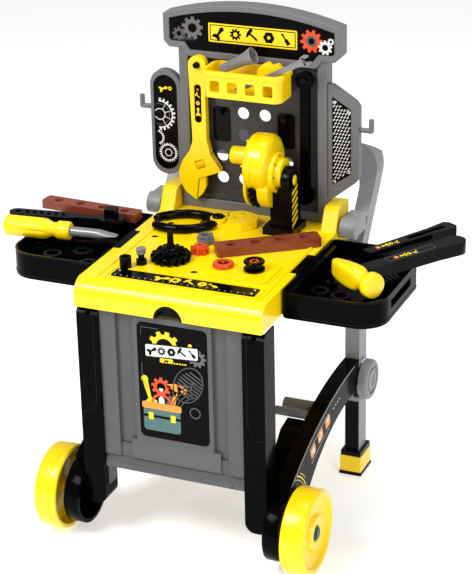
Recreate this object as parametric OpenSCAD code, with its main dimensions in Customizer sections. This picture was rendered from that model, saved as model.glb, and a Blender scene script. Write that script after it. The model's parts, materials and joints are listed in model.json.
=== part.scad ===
// Folding toy workbench on two wheels: rear frame with a pull handle, worktop, front panel,
// side rails, two lift-off trays, lift-off tool board, and a set of toy tools.
// X runs to the right, Y to the back, Z up. The origin is on the floor under the middle.

/* [Worktop] */
// Half the width of the worktop
top_half = 149; // [145:1:150]
// Height of the worktop above the floor
top_z = 434; // [430:1:438]
// Height of the worktop's skirt
skirt_h = 41; // [38:1:43]
// Front edge of the worktop
top_front = -217; // [-220:1:-216]
// Rear edge of the worktop
top_rear = 146; // [140:1:148]
// Radius of the rounded front edge
front_r = 24; // [16:1:30]
// Thickness of the moulded plastic walls
wall = 3; // [2.5:0.1:3.2]

/* [Frame and fold] */
// Half of the footprint's depth, from the wheels' front to the handle's back
depth_half = 252; // [250:1:256]
// Inner face of the rear frame's legs
leg_in = 152; // [151:0.5:153]
// Outer face of the rear frame's legs
leg_out = 176; // [174:1:178]
// Front face of the legs
leg_front = 124; // [123:1:126]
// Depth of the legs
leg_d = 34; // [30:1:36]
// Height of the bend between the legs and the leaning handle
bend_z = 388; // [380:1:392]
// Lean of the handle
handle_lean = 36; // [28:0.5:38]

/* [Wheels] */
// Radius of the wheels
wheel_r = 67; // [64:1:74]
// Width of the wheels
wheel_w = 38; // [36:1:46]
// Radius of the axle
axle_r = 5.95; // [5.93:0.01:5.97]

/* [Tool board] */
// Half the width of the board
board_half = 123; // [121:1:124]
// Front face of the board
board_y = 120; // [119:0.5:121]
// Depth of the board
board_d = 25; // [22:1:26]
// Height of the header's lower edge
header_z = 697; // [690:1:700]
// Half the width of the header
header_half = 146; // [140:1:150]
// Radius of the peg holes
peg_hole_r = 9.75; // [8:0.25:10]
// Spacing of the peg holes
peg_pitch = 36.5; // [34:0.5:38]

/* [Trays] */
// Outer edge of the trays
tray_out = 301; // [296:1:306]
// Front edge of the trays
tray_front = -146; // [-150:1:-140]
// Rear edge of the trays
tray_rear = 72; // [66:1:73]
// Height of the trays' rims
tray_z = 431; // [428:1:432]
// Depth of the trays
tray_h = 40; // [36:1:41]

/* [Tools] */
// Reach of the longest tools to either side
reach = 362; // [356:1:366]

/* [Hidden] */
$fn = 48;
skirt_z = top_z - skirt_h;      // lower edge of the worktop's skirt
gap = 0.3;                      // clearance between pieces that come apart
// Fold pivots: hub of the worktop, hinge of the front panel, knuckle of the rails
hub = [110, 437];
hinge = [-198, 383];
knuckle = [142, 166];
post_pivot = [knuckle[0] + hinge[0] - hub[0], knuckle[1] + hinge[1] - hub[1]];
wheel_y = -depth_half + wheel_r;
wheel_in = 184;                 // inner face of the wheels
wheel_out = wheel_in + wheel_w;
post_in = 115;                  // inner face of the front posts
post_out = 150;                 // outer face of the front posts
post_front = -211;
post_rear = -171;
post_z = 62;                    // lower end of the posts
riser_in = 125;                 // inner face of the worktop's rear risers
riser_z = 470;
board_z = top_z;                // lower edge of the board
panel_y = board_y + 6;          // front face of the board's recessed panel
tongue_y = [-80, -6];           // ends of the tray tongues
tray_floor = tray_z - tray_h;
tray_bed = tray_floor + 14;     // top of the tray's bottom, which sits up inside its skirt
saw_y = 72;
pliers_at = [-34, 56];
pliers_turn = 20;
hammer_turn = 58;

yellow = "#f5d800";
grey = "#77777a";
dark = "#3f3f42";
black = "#161617";
brown = "#7d3f2a";
orange = "#d8502a";

function arc(cx, cy, r, a1, a2, n) =
    [for (i = [0:n]) [cx + r * cos(a1 + (a2 - a1) * i / n), cy + r * sin(a1 + (a2 - a1) * i / n)]];
// Outline of a rectangle with round corners
function round_box(x1, x2, y1, y2, r) = concat(
    arc(x2 - r, y1 + r, r, -90, 0, 6), arc(x2 - r, y2 - r, r, 0, 90, 6),
    arc(x1 + r, y2 - r, r, 90, 180, 6), arc(x1 + r, y1 + r, r, 180, 270, 6));

module box(x, y, z) translate([x[0], y[0], z[0]]) cube([x[1] - x[0], y[1] - y[0], z[1] - z[0]]);
module rod_x(r, x, y, z) translate([x[0], y, z]) rotate([0, 90, 0]) cylinder(r = r, h = x[1] - x[0]);
module rod_y(r, x, y, z) translate([x, y[0], z]) rotate([-90, 0, 0]) cylinder(r = r, h = y[1] - y[0]);
module rod_z(r, x, y, z) translate([x, y, z[0]]) cylinder(r = r, h = z[1] - z[0]);
// Side outline (Y, Z) as a plate between two X values
module side_plate(x) translate([x[0], 0, 0]) rotate([90, 0, 90]) linear_extrude(x[1] - x[0]) children();
// Front outline (X, Z) as a plate between two Y values
module front_plate(y) translate([0, y[1], 0]) rotate([90, 0, 0]) linear_extrude(y[1] - y[0]) children();
module flat_plate(z) translate([0, 0, z[0]]) linear_extrude(z[1] - z[0]) children();
module side(s) mirror([s < 0 ? 1 : 0, 0, 0]) children();
module both() for (s = [-1, 1]) side(s) children();
// Toothed wheel outline
module gear_outline(r, depth, teeth) {
    circle(r = r - depth);
    for (i = [0:teeth - 1]) rotate(360 / teeth * i)
        polygon([[0, -r * 2 / teeth], [r, -r * 1.1 / teeth], [r, r * 1.1 / teeth], [0, r * 2 / teeth]]);
}
// Hexagonal nut lying flat
module nut(x, y, z, r, bore, h) translate([x, y, z]) difference() {
    cylinder(r = r, h = h, $fn = 6);
    translate([0, 0, -1]) cylinder(r = bore, h = h + 2);
}

// ---- rear frame -------------------------------------------------------------------------
// Side view of a leg and its leaning handle arm
function arm_side() = let (slope = tan(handle_lean), reach_y = depth_half - leg_front - leg_d,
    thick = leg_d * cos(handle_lean)) [
    [leg_front, 24], [leg_front + leg_d, 24], [leg_front + leg_d, bend_z],
    [depth_half, bend_z + reach_y / slope],
    [depth_half - thick * cos(handle_lean), bend_z + reach_y / slope + thick * sin(handle_lean)],
    [leg_front, bend_z]];
// Front view of the two legs and the crossbar of the handle
module frame_front() {
    top = arm_side()[4][1];
    difference() {
        polygon(concat([[-leg_out, 20], [leg_out, 20]], arc(leg_out - 44, top + 1 - 44, 44, 0, 90, 10),
            arc(44 - leg_out, top + 1 - 44, 44, 90, 180, 10)));
        polygon(concat([[-leg_in, 10], [leg_in, 10]], arc(leg_in - 24, top - 60, 24, 0, 90, 8),
            arc(24 - leg_in, top - 60, 24, 90, 180, 8)));
    }
}

module rear_frame() color(grey) {
    difference() {
        union() {
            intersection() {
                side_plate([-leg_out - 1, leg_out + 1]) polygon(arm_side());
                front_plate([0, depth_half + 10]) frame_front();
            }
            // hub bosses that carry the worktop
            both() {
                rod_x(17, [leg_in + 0.01, leg_out - 0.01], hub[0], hub[1]);
                box([leg_in + 0.02, leg_out - 0.02], [hub[0], leg_front + 26], [hub[1] - 14, hub[1] + 14]);
            }
        }
        both() {
            // room for the rail's ear beside the leg
            rod_x(32, [leg_out - 10, leg_out + 1], knuckle[0], knuckle[1]);
            // the lower leg is a channel, open to the front
            box([leg_in + 4, leg_out - 4], [leg_front - 1, leg_front + 26], [50, 128]);
            rod_x(6, [leg_in - 1, leg_in + 10], hub[0], hub[1]);
        }
    }
    both() rod_x(8, [leg_out - 11, leg_out + 14], knuckle[0], knuckle[1]);
}

module knuckle_caps() color(grey) both() difference() {
    rod_x(33, [leg_out + 0.5, leg_out + 17], knuckle[0], knuckle[1]);
    rod_x(8, [leg_out, leg_out + 14], knuckle[0], knuckle[1]);
    difference() {
        rod_x(23, [leg_out + 15, leg_out + 18], knuckle[0], knuckle[1]);
        rod_x(18, [leg_out + 14, leg_out + 19], knuckle[0], knuckle[1]);
    }
}

module foot_block(grow, z) box([leg_in - 6 - grow, leg_out + 6 + grow],
    [leg_front - 8 - grow, leg_front + leg_d + 8 + grow], z);

module feet() color(yellow) both() difference() {
    foot_block(0, [5, 34]);
    box([leg_in, leg_out], [leg_front, leg_front + leg_d], [24, 41]);
}

module foot_pads() color(black) both() {
    foot_block(1, [0, 5]);
    difference() {
        foot_block(-1, [34, 42]);
        box([leg_in, leg_out], [leg_front, leg_front + leg_d], [33, 43]);
    }
}

module hub_pins() color(dark) both() rod_x(5.95, [138, leg_in + 10], hub[0], hub[1]);

// ---- worktop ----------------------------------------------------------------------------
// Side outline of the worktop, drawn in by a wall thickness when it is the hollow
module top_outline(t) polygon(concat(
    [[top_rear - t, skirt_z - (t > 0 ? 1 : 0)], [top_rear - t, top_z - t]],
    arc(top_front + front_r, top_z - front_r, front_r - t, 90, 180, 10),
    [[top_front + t, skirt_z - (t > 0 ? 1 : 0)]]));
module riser_outline(t) polygon([[86 + t, top_z - 8], [86 + t, top_z + t], [101 + t, riser_z - 5 - t],
    [108, riser_z - t], [top_rear - t, riser_z - t], [top_rear - t, top_z - 8]]);

module worktop() color(yellow) difference() {
    union() {
        difference() {
            union() {
                side_plate([-top_half, top_half]) top_outline(0);
                both() side_plate([riser_in, top_half]) riser_outline(0);
            }
            side_plate([wall - top_half, top_half - wall]) top_outline(wall);
            both() side_plate([riser_in + wall, top_half - wall]) riser_outline(wall);
        }
        // raised plate under the two screws
        flat_plate([top_z - 1, top_z + 3]) polygon(round_box(30, 122, -137, -67, 8));
        both() {
            // boss round the hub pin, and the ledge that carries the tray's tongue
            rod_x(11, [138, top_half - 1], hub[0], hub[1]);
            box([135, top_half - 1], [tongue_y[0] - 4, tongue_y[1] + 4], [top_z - 12, top_z - 1]);
        }
    }
    both() {
        rod_x(6, [137, top_half + 1], hub[0], hub[1]);
        box([138.5, top_half + 1], [tongue_y[0] - 1, tongue_y[1] + 1], [top_z - 8, top_z + 1]);
        // sockets for the board's tongues
        box([70 - gap, 100 + gap], [126 - gap, 140 + gap], [top_z - 5, top_z + 1]);
    }
    // finger notch in the front skirt
    rod_y(23, 2, [top_front - 1, top_front + 8], skirt_z - 1);
    // screw holes and loose peg holes
    for (p = [[40, -98], [89, -96]]) rod_z(6, p[0], p[1], [top_z - 5, top_z + 4]);
    for (p = [[-62, -92], [-52, -46], [-104, -70]]) rod_z(5, p[0], p[1], [top_z - 5, top_z + 1]);
}

// Ears that carry the panel's hinge, under the front edge of the worktop
module hinge_ears() color(black) both() difference() {
    side_plate([128, 136]) {
        translate(hinge) circle(r = 9);
        polygon([[hinge[0] - 7, hinge[1]], [hinge[0] + 9, hinge[1]], [hinge[0] + 20, top_z - 20],
            [hinge[0] + 20, top_z - 3.2], [hinge[0] + 3, top_z - 3.5], [hinge[0] - 7, top_z - 7.5]]);
    }
    rod_x(3.05, [127, 137], hinge[0], hinge[1]);
}

module ruler_strip() color(black) flat_plate([top_z, top_z + 2])
    polygon(round_box(-105, 123, -181, -156, 2));

module front_grip() color(black) difference() {
    rod_y(22.9, 2, [top_front + 0.5, top_front + 15], skirt_z - 1);
    rod_y(19, 2, [top_front - 1, top_front + 12], skirt_z - 1);
    box([-40, 40], [top_front, top_front + 20], [skirt_z - 40, skirt_z]);
}

module table_peg() color(black) difference() {
    rod_z(9, -97, -146, [top_z, top_z + 18]);
    rod_z(6, -97, -146, [top_z + 8, top_z + 19]);
}

module gear_cluster() color(black) {
    translate([-46, -96, top_z]) {
        linear_extrude(12) gear_outline(31, 6, 16);
        translate([0, 0, 12]) linear_extrude(7) gear_outline(22, 5, 12);
        translate([0, 0, 19]) cylinder(r = 4.5, h = 26);
    }
    // hexagonal bolt standing on its head
    translate([-81, -125, top_z]) {
        cylinder(r = 9, h = 8, $fn = 6);
        cylinder(r = 5, h = 26);
    }
}

module red_gear() color(orange) translate([-16, -56, top_z]) difference() {
    linear_extrude(12) gear_outline(14, 4.5, 8);
    translate([0, 0, -1]) cylinder(r = 4, h = 14);
}

module castle_nut() color(grey) translate([-24, -16, top_z]) difference() {
    linear_extrude(14) gear_outline(15, 3, 6);
    translate([0, 0, -1]) cylinder(r = 7, h = 18);
}

// Screws that drop into the worktop's holes and turn there
module red_screw() color(orange) difference() {
    union() {
        rod_z(16, 40, -98, [top_z + 3.2, top_z + 10]);
        rod_z(5.95, 40, -98, [top_z - 14, top_z + 4]);
    }
    rod_z(6, 40, -98, [top_z + 6, top_z + 10]);
}
module black_screw() color(black) difference() {
    union() {
        rod_z(9, 89, -96, [top_z + 3.2, top_z + 12]);
        rod_z(16, 89, -96, [top_z + 12, top_z + 19]);
        rod_z(5.95, 89, -96, [top_z - 14, top_z + 4]);
    }
    rod_z(7, 89, -96, [top_z + 17, top_z + 20]);
}

// Flat bar with four holes
module strip(length, width, thick) difference() {
    linear_extrude(thick) polygon(round_box(-length / 2, length / 2, -width / 2, width / 2, 5));
    for (i = [-1.5:1.5]) translate([i * length / 4.3, 0, -1]) cylinder(r = 7.2, h = thick + 2);
}
module strip_table() color(brown) translate([74, -6, top_z + gap]) rotate(36) strip(162, 32, 14);
module strip_tray() color(brown) translate([-249, 45, tray_z + gap]) rotate(-3) strip(172, 28, 13);

// ---- front panel ------------------------------------------------------------------------
module front_panel() color(grey) difference() {
    union() {
        box([-post_in, post_in], [-200, -194], [128, 389]);
        // shelf with a sloping top, side columns, blocks and the raised pocket
        side_plate([-post_in, post_in]) polygon([[-207, 128], [-207, 137], [-199, 154], [-195, 154], [-195, 128]]);
        box([-70, 76], [-206, -198], [150, 183]);
        box([-60, 66], [-207, -198], [182, 389]);
        both() {
            box([89, post_in], [-206, -198], [150, 389]);
            box([62, 96], [-203, -198], [150, 172]);
            box([post_in - 3, post_in], [-196, -176], [128, 389]);
            box([post_in - 3, post_in], [-202, -178], [94, 130]);
        }
    }
    // seat of the printed label
    front_plate([-208, -206]) polygon(round_box(-53.4, 59.4, 191.6, 380.4, 9));
}

module panel_decal() color(black) front_plate([-206.7, -206]) polygon(round_box(-53, 59, 192, 380, 9));

module post() difference() {
    intersection() {
        side_plate([post_in, post_out]) polygon([[post_rear, 389], [post_front + 6, 389], [post_front, 381],
            [post_front, post_z], [post_rear, post_z]]);
        front_plate([post_front - 1, post_rear + 1]) polygon(concat([[post_out, 390], [post_in, 390]],
            arc(post_in + 16, post_z + 16, 16, 180, 270, 6), arc(post_out - 12, post_z + 12, 12, 270, 360, 6)));
    }
    box([post_in + wall, post_out - wall], [post_front + wall, post_rear + 1], [post_z + 17, 390]);
    box([126.5, 137.5], [post_front - 1, post_front + 5], [hinge[1] - 3, 390]);
}
module post_with_pins() {
    post();
    rod_x(3, [post_in + 1, post_out - 1], hinge[0], hinge[1]);
    // lug and stub of the pivot against the rail
    side_plate([139, post_out]) {
        translate(post_pivot) circle(r = 11);
        polygon([[post_rear - 6, post_pivot[1] - 16], [post_pivot[0], post_pivot[1] - 11],
            [post_pivot[0], post_pivot[1] + 11], [post_rear - 6, post_pivot[1] + 16]]);
    }
    rod_x(4, [post_out - 2, leg_in + 7], post_pivot[0], post_pivot[1]);
}
module post_left() color(black) side(-1) post_with_pins();
module post_right() color(black) side(1) post_with_pins();

// ---- rails and wheels -------------------------------------------------------------------
// Arched side of a rail: a wide upper curve, a tight lower curve and a round wheel end
rail_top = [111.3, -385.3, 593.1];
rail_low = [89.1, -146.9, 306.3];
function on_circle(c, y) = c[1] + sqrt(c[2] * c[2] - (y - c[0]) * (y - c[0]));
module rail_outline() {
    polygon(concat(
        [for (i = [0:16]) let (y = leg_front - 2 - i * (leg_front - 2 + 190) / 16) [y, on_circle(rail_top, y)]],
        [[wheel_y, wheel_r], [wheel_y + 50, 72]],
        arc(rail_low[0], rail_low[1], rail_low[2], 134, 88, 10),
        [[leg_front - 2, 175]]));
    translate([wheel_y, wheel_r]) circle(r = 52, $fn = 72);
}
module ear_outline() {
    along = [100, 190];
    d = (along - knuckle) / norm(along - knuckle);
    n = [d[1], -d[0]];
    translate(knuckle) circle(r = 24);
    polygon([knuckle + 13 * n, along + 12 * n, along - 12 * n, knuckle - 13 * n]);
    translate(along) circle(r = 12);
}
module rail() difference() {
    union() {
        side_plate([leg_in, leg_out]) rail_outline();
        side_plate([leg_out - 9.5, leg_out - 0.5]) ear_outline();
        // inner bracket behind the post
        side_plate([120, leg_in + 1]) polygon([[-47, 176], [-78, 171], [-122, 133], [-148, 113], [-148, 92],
            [-110, 92], [-70, 118], [-47, 134]]);
        rod_x(15, [leg_out - 1, wheel_in - 0.6], wheel_y, wheel_r);
    }
    rod_x(8.05, [leg_out - 11, leg_out + 1], knuckle[0], knuckle[1]);
    rod_x(axle_r, [leg_in - 1, wheel_in + 1], wheel_y, wheel_r);
    rod_x(4.6, [leg_in - 1, leg_in + 8], post_pivot[0], post_pivot[1]);
    // the wheel end is hollow from the inside
    difference() {
        rod_x(46, [leg_in - 1, leg_out - 4], wheel_y, wheel_r);
        rod_x(12, [leg_in - 2, leg_out], wheel_y, wheel_r);
        rod_x(9, [leg_in - 2, leg_out], post_pivot[0], post_pivot[1]);
    }
}
module rail_left() color(black) side(-1) rail();
module rail_right() color(black) side(1) rail();

// Stub tubes on the rails' inner sides, and the rod that ties the two brackets
module cross_tubes() color(grey) {
    both() {
        difference() {
            rod_x(11, [102, leg_in], -14, 181);
            rod_x(8, [101, leg_in - 2], -14, 181);
        }
        rod_x(7, [100, leg_in], -46, 185);
    }
    rod_x(6, [-120, 120], -92, 118);
}

module axles() color(dark) both() rod_x(axle_r, [leg_in, wheel_out - 12], wheel_y, wheel_r);

// Thin labels on the rails' outer faces, following the arch
module rail_decals() color(orange) both() for (a = [103.6:3.35:110.4])
    side_plate([leg_out, leg_out + 0.6]) translate([rail_top[0] + 568 * cos(a), rail_top[1] + 568 * sin(a)])
        rotate(a) polygon(round_box(-9, 9, -10, 10, 3));

module wheel() translate([wheel_in, wheel_y, wheel_r]) rotate([0, 90, 0]) difference() {
    rotate_extrude($fn = 96) polygon(concat(
        [[6, 0], [12, 0], [12, 17], [wheel_r - 6, 22], [wheel_r - 6, 0], [wheel_r - 2, 0]],
        [[wheel_r, 2], [wheel_r, wheel_w - 6]],
        arc(wheel_r - 7, wheel_w - 7, 7, 0, 90, 4),
        [[wheel_r - 12, wheel_w], [wheel_r - 16, wheel_w - 8], [28, wheel_w - 10], [22, wheel_w - 2],
            [12.3, wheel_w - 2], [12.3, wheel_w - 11], [6, wheel_w - 11]]));
}
module wheel_left() color(yellow) side(-1) wheel();
module wheel_right() color(yellow) side(1) wheel();
module hub_cap() rod_x(12.3, [wheel_out - 11, wheel_out - 1], wheel_y, wheel_r);
module hub_cap_left() color(dark) side(-1) hub_cap();
module hub_cap_right() color(dark) side(1) hub_cap();

// ---- trays ------------------------------------------------------------------------------
tray_in = top_half + 1;
function tray_shape(t) = concat(
    arc(tray_in + 10, tray_front + 10, 10 - t, 180, 270, 4),
    arc(tray_out - 42, tray_front + 42, 42 - t, 270, 360, 10),
    [[tray_out - t, 22 - t * 0.4], [252 - t * 0.4, tray_rear - t]],
    arc(tray_in + 8, tray_rear - 8, 8 - t, 90, 180, 4));
module tray(slotted) {
    difference() {
        union() {
            difference() {
                flat_plate([tray_floor, tray_z]) polygon(tray_shape(0));
                flat_plate([tray_bed, tray_z + 1]) polygon(tray_shape(wall));
                flat_plate([tray_floor - 1, tray_bed - wall]) polygon(tray_shape(wall));
            }
            // inner flange along the worktop
            box([tray_in + 1, tray_in + 13], [tray_front + 8, tray_rear - 8], [tray_z - 7, tray_z - 4]);
        }
        // long slot in the outer wall
        if (slotted) box([tray_out - 5, tray_out + 1], [-96, -6], [tray_floor + 17, tray_floor + 30]);
    }
    // tongue that hooks over the worktop's edge
    box([139.5, tray_in + 2], [tongue_y[0], tongue_y[1]], [top_z - 8 + gap, top_z]);
}
module tray_left() color(black) side(-1) tray(false);
module tray_right() color(black) side(1) tray(true);

module tray_right_parts() color(black) {
    f = tray_bed;
    nut(187, -84, f, 16, 9, 10);
    nut(222, -91, f, 16, 9, 10);
    for (p = [[190, -40], [200, 10], [232, 30]]) translate([p[0], p[1], f]) {
        cylinder(r = 9, h = 6, $fn = 6);
        cylinder(r = 4, h = 22);
    }
    translate([260, -12, f]) rotate(52) for (i = [-3:3]) translate([i * 8, -20, 0]) cube([4, 34, 8]);
}
module tray_left_parts() color(dark) {
    f = tray_bed;
    nut(-180, -106, f, 17, 9, 10);
    nut(-250, -90, f, 17, 9, 10);
    nut(-284, -66, f, 13, 7, 9);
    translate([-211, -66, f]) difference() {
        linear_extrude(10) gear_outline(18, 4, 10);
        translate([0, 0, -1]) cylinder(r = 8, h = 12);
    }
    translate([-268, -46, f]) rotate(14) cube([82, 11, 9]);
}

// ---- tool board -------------------------------------------------------------------------
module board_frame() color(grey) {
    y2 = board_y + board_d;
    difference() {
        box([-board_half, board_half], [board_y, y2], [board_z, header_z]);
        box([16 - board_half, board_half - 16], [board_y - 1, y2 + 1], [board_z + 16, header_z + 1]);
        box([wall - board_half, board_half - wall], [panel_y, y2 + 1], [board_z + wall, header_z + 1]);
    }
    both() box([70, 100], [126, 140], [board_z - 30, board_z + 1]);
}

module board_panel() color(dark) difference() {
    union() {
        box([gap + wall - board_half, board_half - wall - gap], [panel_y, panel_y + 4],
            [board_z + wall + gap, header_z - 1]);
        // stepped rib near the lower edge
        front_plate([panel_y - 2, panel_y + 1]) polygon([[-106.9, 451], [-106.9, 462], [-50, 458],
            [-38, 468], [18, 468], [30, 458], [60, 458], [60, 451]]);
    }
    for (row = [0:3], col = [-1.5:1.5]) if (row < 2 || abs(col) < 1)
        rod_y(peg_hole_r, col * peg_pitch, [panel_y - 3, panel_y + 5], top_z + 54 + row * peg_pitch);
    // slots for the basket's prongs
    for (x = [-34, 50]) box([x - 4, x + 4], [panel_y - 1, panel_y + 5], [664, 674]);
}

function header_shape(t) = let (r = (header_half * header_half + 22 * 22) / 44,
    half = asin((header_half - t) / (r - t))) concat(
    [[-header_half + 9 + t * 0.4, header_z + t], [header_half - 9 - t * 0.4, header_z + t],
        [header_half - t, header_z + 9 + t * 0.4]],
    arc(0, header_z + 75 - r, r - t, 90 - half, 90 + half, 12),
    [[t - header_half, header_z + 9 + t * 0.4]]);
// Lower edge of the header steps down between two slanted corners
module header_front(t) {
    polygon(header_shape(t));
    polygon([[-118 + t * 0.5, header_z + 3 + t], [-106 + t * 0.5, header_z - 12.5 + t],
        [106 - t * 0.5, header_z - 12.5 + t], [118 - t * 0.5, header_z + 3 + t]]);
}
module header() color(grey) difference() {
    union() {
        front_plate([board_y - 4, board_y + board_d + 1]) polygon(header_shape(0));
        front_plate([board_y - 4, board_y]) header_front(0);
    }
    front_plate([board_y + 2, board_y + board_d + 2]) polygon(header_shape(wall));
    front_plate([board_y - 5, board_y - 1]) header_front(10);
}
module header_decal() color("#241410") front_plate([board_y - 1.8, board_y - 1]) header_front(10.3);

wing_y = [122, 134];
module wing_left() color(grey) {
    front_plate(wing_y) polygon(round_box(-board_half - 52, -board_half, 483, 657, 25.9));
}
module wing_right() color(grey) front_plate(wing_y)
    polygon([[board_half, 475], [132, 477], [168, 506], [board_half + 51, 515],
        [board_half + 51, 630], [168, 638], [132, 660], [board_half, 662]]);
module wing_decals() color(black) {
    front_plate([121, 122]) polygon(round_box(-board_half - 46, -board_half - 6, 492, 648, 19.9));
    front_plate([121, 122]) polygon([[131, 500], [131, 642], [161, 624], [161, 520]]);
}
module coat_hooks() color(grey) for (s = [-1, 1]) side(s) {
    x = board_half + 69;
    rod_x(4, [board_half + (s < 0 ? 52 : 51), x], 128, 592);
    translate([x, 128, 592]) sphere(r = 4);
    rod_z(4, x, 128, [592, 610]);
}

// Black sockets with their pegs, and the pegs that the wrenches hang on
module board_pegs() color(black) {
    for (x = [-54, 54]) {
        front_plate([panel_y - 2, panel_y]) polygon(round_box(x - 14, x + 14, 549, 605, 6));
        rod_y(5, x, [panel_y - 14, panel_y - 2], 597);
    }
    rod_y(4.5, -85, [98, panel_y], 676);
    rod_y(4.5, 91, [102, panel_y], 668);
}

module basket() color(yellow) difference() {
    union() {
        flat_plate([641, 683]) polygon(round_box(-57, 70, 60, 119, 14));
        flat_plate([676, 683]) polygon(round_box(-60, 73, 57, 119, 16));
        for (x = [-34, 50]) box([x - 3.5, x + 3.5], [118, panel_y + 7], [665, 673]);
    }
    flat_plate([644, 684]) polygon(round_box(-54, 67, 63, 116, 11));
    for (i = [-1.5:1.5]) front_plate([56, 64]) translate([6.5 + i * 29, 659])
        polygon(round_box(-8, 8, -9, 9, 3));
}
module basket_tools() color("#9a9a9c") {
    // flared tube
    translate([-38, 92, 677]) rotate([0, 63, 0]) difference() {
        cylinder(r1 = 7, r2 = 13, h = 60);
        translate([0, 0, 30]) cylinder(r1 = 6, r2 = 11, h = 31);
    }
    box([23, 60], [84, 96], [644.2, 691]);
    // spanner leaning out over the rim
    translate([-8, 76, 651.2]) rotate([0, 63, 0]) {
        translate([-4, -3, 0]) cube([8, 6, 122]);
        translate([0, 3, 127]) rotate([90, 0, 0]) difference() {
            cylinder(r = 9, h = 6);
            translate([-3.5, -12, -1]) cube([7, 12, 8]);
        }
    }
}

// ---- adjustable wrench, hanging from its ring -------------------------------------------
wrench_y = [104, 115.6];
jaw_turn = 21.8;                // slope of the head's lower edge and of the jaw's slide
module wrench_head() translate([-87.5, 0, 489]) rotate([0, -jaw_turn, 0]) children();
module wrench_body() color(yellow) difference() {
    front_plate(wrench_y) {
        translate([-85, 675]) circle(r = 15);
        polygon([[-100, 672], [-98, 617], [-96, 552], [-101, 535], [-114, 517], [-121, 499], [-120, 482],
            [-110, 465], [-92, 453], [-87.5, 489], [-50, 504], [-50, 508], [-66, 531],
            [-72, 555], [-72.5, 620], [-71, 676]]);
    }
    rod_y(5.5, -85, [103, 117], 675.3);
    wrench_head() {
        box([4.5, 20], [103, 117], [14, 28]);     // window of the worm
        box([-0.5, 45], [108, 112], [-3, 9]);      // slot of the moving jaw
    }
    front_plate([103, 105]) polygon(round_box(-91, -79, 580, 646, 5.9));
}
module wrench_jaw() color(yellow) {
    wrench_head() box([0.6, 28], [108.3, 111.7], [-1, 8.6]);
    front_plate([106.5, 113.1]) polygon([[-86.9, 488.4], [-75.7, 492.9], [-75.6, 476], [-83, 462], [-91.2, 455]]);
}
module wrench_worm() color(dark) wrench_head() rod_x(6.8, [5.2, 19.3], 109.8, 21);

module socket_wrench() color(black) difference() {
    front_plate([106, 116]) {
        translate([91, 667]) circle(r = 14);
        translate([91, 482]) circle(r = 15);
        polygon([[84, 667], [84, 482], [98, 482], [98, 667]]);
    }
    rod_y(6, 91, [105, 117], 667);
    rod_y(8, 91, [105, 109], 482);
}

// ---- circular saw, standing on its battery ----------------------------------------------
saw_blade_z = 508;
module saw_body() color(yellow) {
    difference() {
        union() {
            rod_x(46, [16, 58], saw_y, 542);
            rod_x(36, [16, 58], saw_y, saw_blade_z);
            rod_x(14, [-15, 17], saw_y, 549);
            rod_x(32, [57, 66], saw_y - 4, 534);
            rod_x(23, [65, 75], saw_y - 6, 528);
        }
        rod_x(40, [22, 38], saw_y, saw_blade_z);
    }
    rod_x(4, [20, 42], saw_y, saw_blade_z);
}
module saw_blade() color(black) difference() {
    side_plate([26, 34]) translate([saw_y, saw_blade_z]) gear_outline(38, 4, 20);
    rod_x(4.05, [25, 35], saw_y, saw_blade_z);
}
module saw_handle() color(dark) difference() {
    union() {
        box([44, 96], [saw_y - 26, saw_y + 28], [top_z + gap, top_z + 12]);
        box([54, 90], [saw_y - 17, saw_y + 20], [top_z + 11, 512]);
        rod_x(21, [75.2, 87], saw_y - 6, 522);
        rod_x(9, [86, 90], saw_y - 6, 522);
    }
    rod_x(46.2, [15, 58.2], saw_y, 542);
    rod_x(36.2, [15, 58.2], saw_y, saw_blade_z);
    rod_x(32.2, [57, 66.2], saw_y - 4, 534);
    rod_x(23.2, [65, 75.2], saw_y - 6, 528);
}

// ---- pliers, lying open on the worktop --------------------------------------------------
module pliers_half(s) {
    z1 = top_z + gap;
    translate([pliers_at[0], pliers_at[1], 0]) rotate(pliers_turn) difference() {
        union() {
            // bowed handle on one side and jaw on the other
            flat_plate([z1, z1 + 14]) intersection() {
                polygon(concat(arc(-53, -31 * s, 70, s > 0 ? 41 : -41, s > 0 ? 139 : -139, 16),
                    arc(-53, -31 * s, 57, s > 0 ? 139 : -139, s > 0 ? 35 : -35, 16)));
                polygon([[-120, 1.2 * s], [-12, 1.2 * s], [-12, 60 * s], [-120, 60 * s]]);
            }
            flat_plate([z1, z1 + 14]) polygon([[13, -1.2 * s], [62, -1.2 * s], [60, -12 * s], [36, -28 * s],
                [13, -20 * s]]);
            flat_plate(s > 0 ? [z1, z1 + 6.8] : [z1 + 7.2, z1 + 14]) {
                circle(r = 12);
                polygon([[0, 0], [-26, 14 * s], [-22, 26 * s], [-8, 12 * s]]);
                polygon([[0, 0], [16, -1.2 * s], [16, -20 * s], [0, -12 * s]]);
            }
        }
        if (s < 0) translate([0, 0, z1]) cylinder(r = 4.05, h = 20);
        if (s < 0) translate([38, 15, z1 - 1]) cylinder(r = 5.5, h = 17);
    }
    if (s > 0) rod_z(4, pliers_at[0], pliers_at[1], [z1 + 6, z1 + 15]);
}
module pliers_lower() color(black) pliers_half(1);
module pliers_upper() color(yellow) pliers_half(-1);

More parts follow.
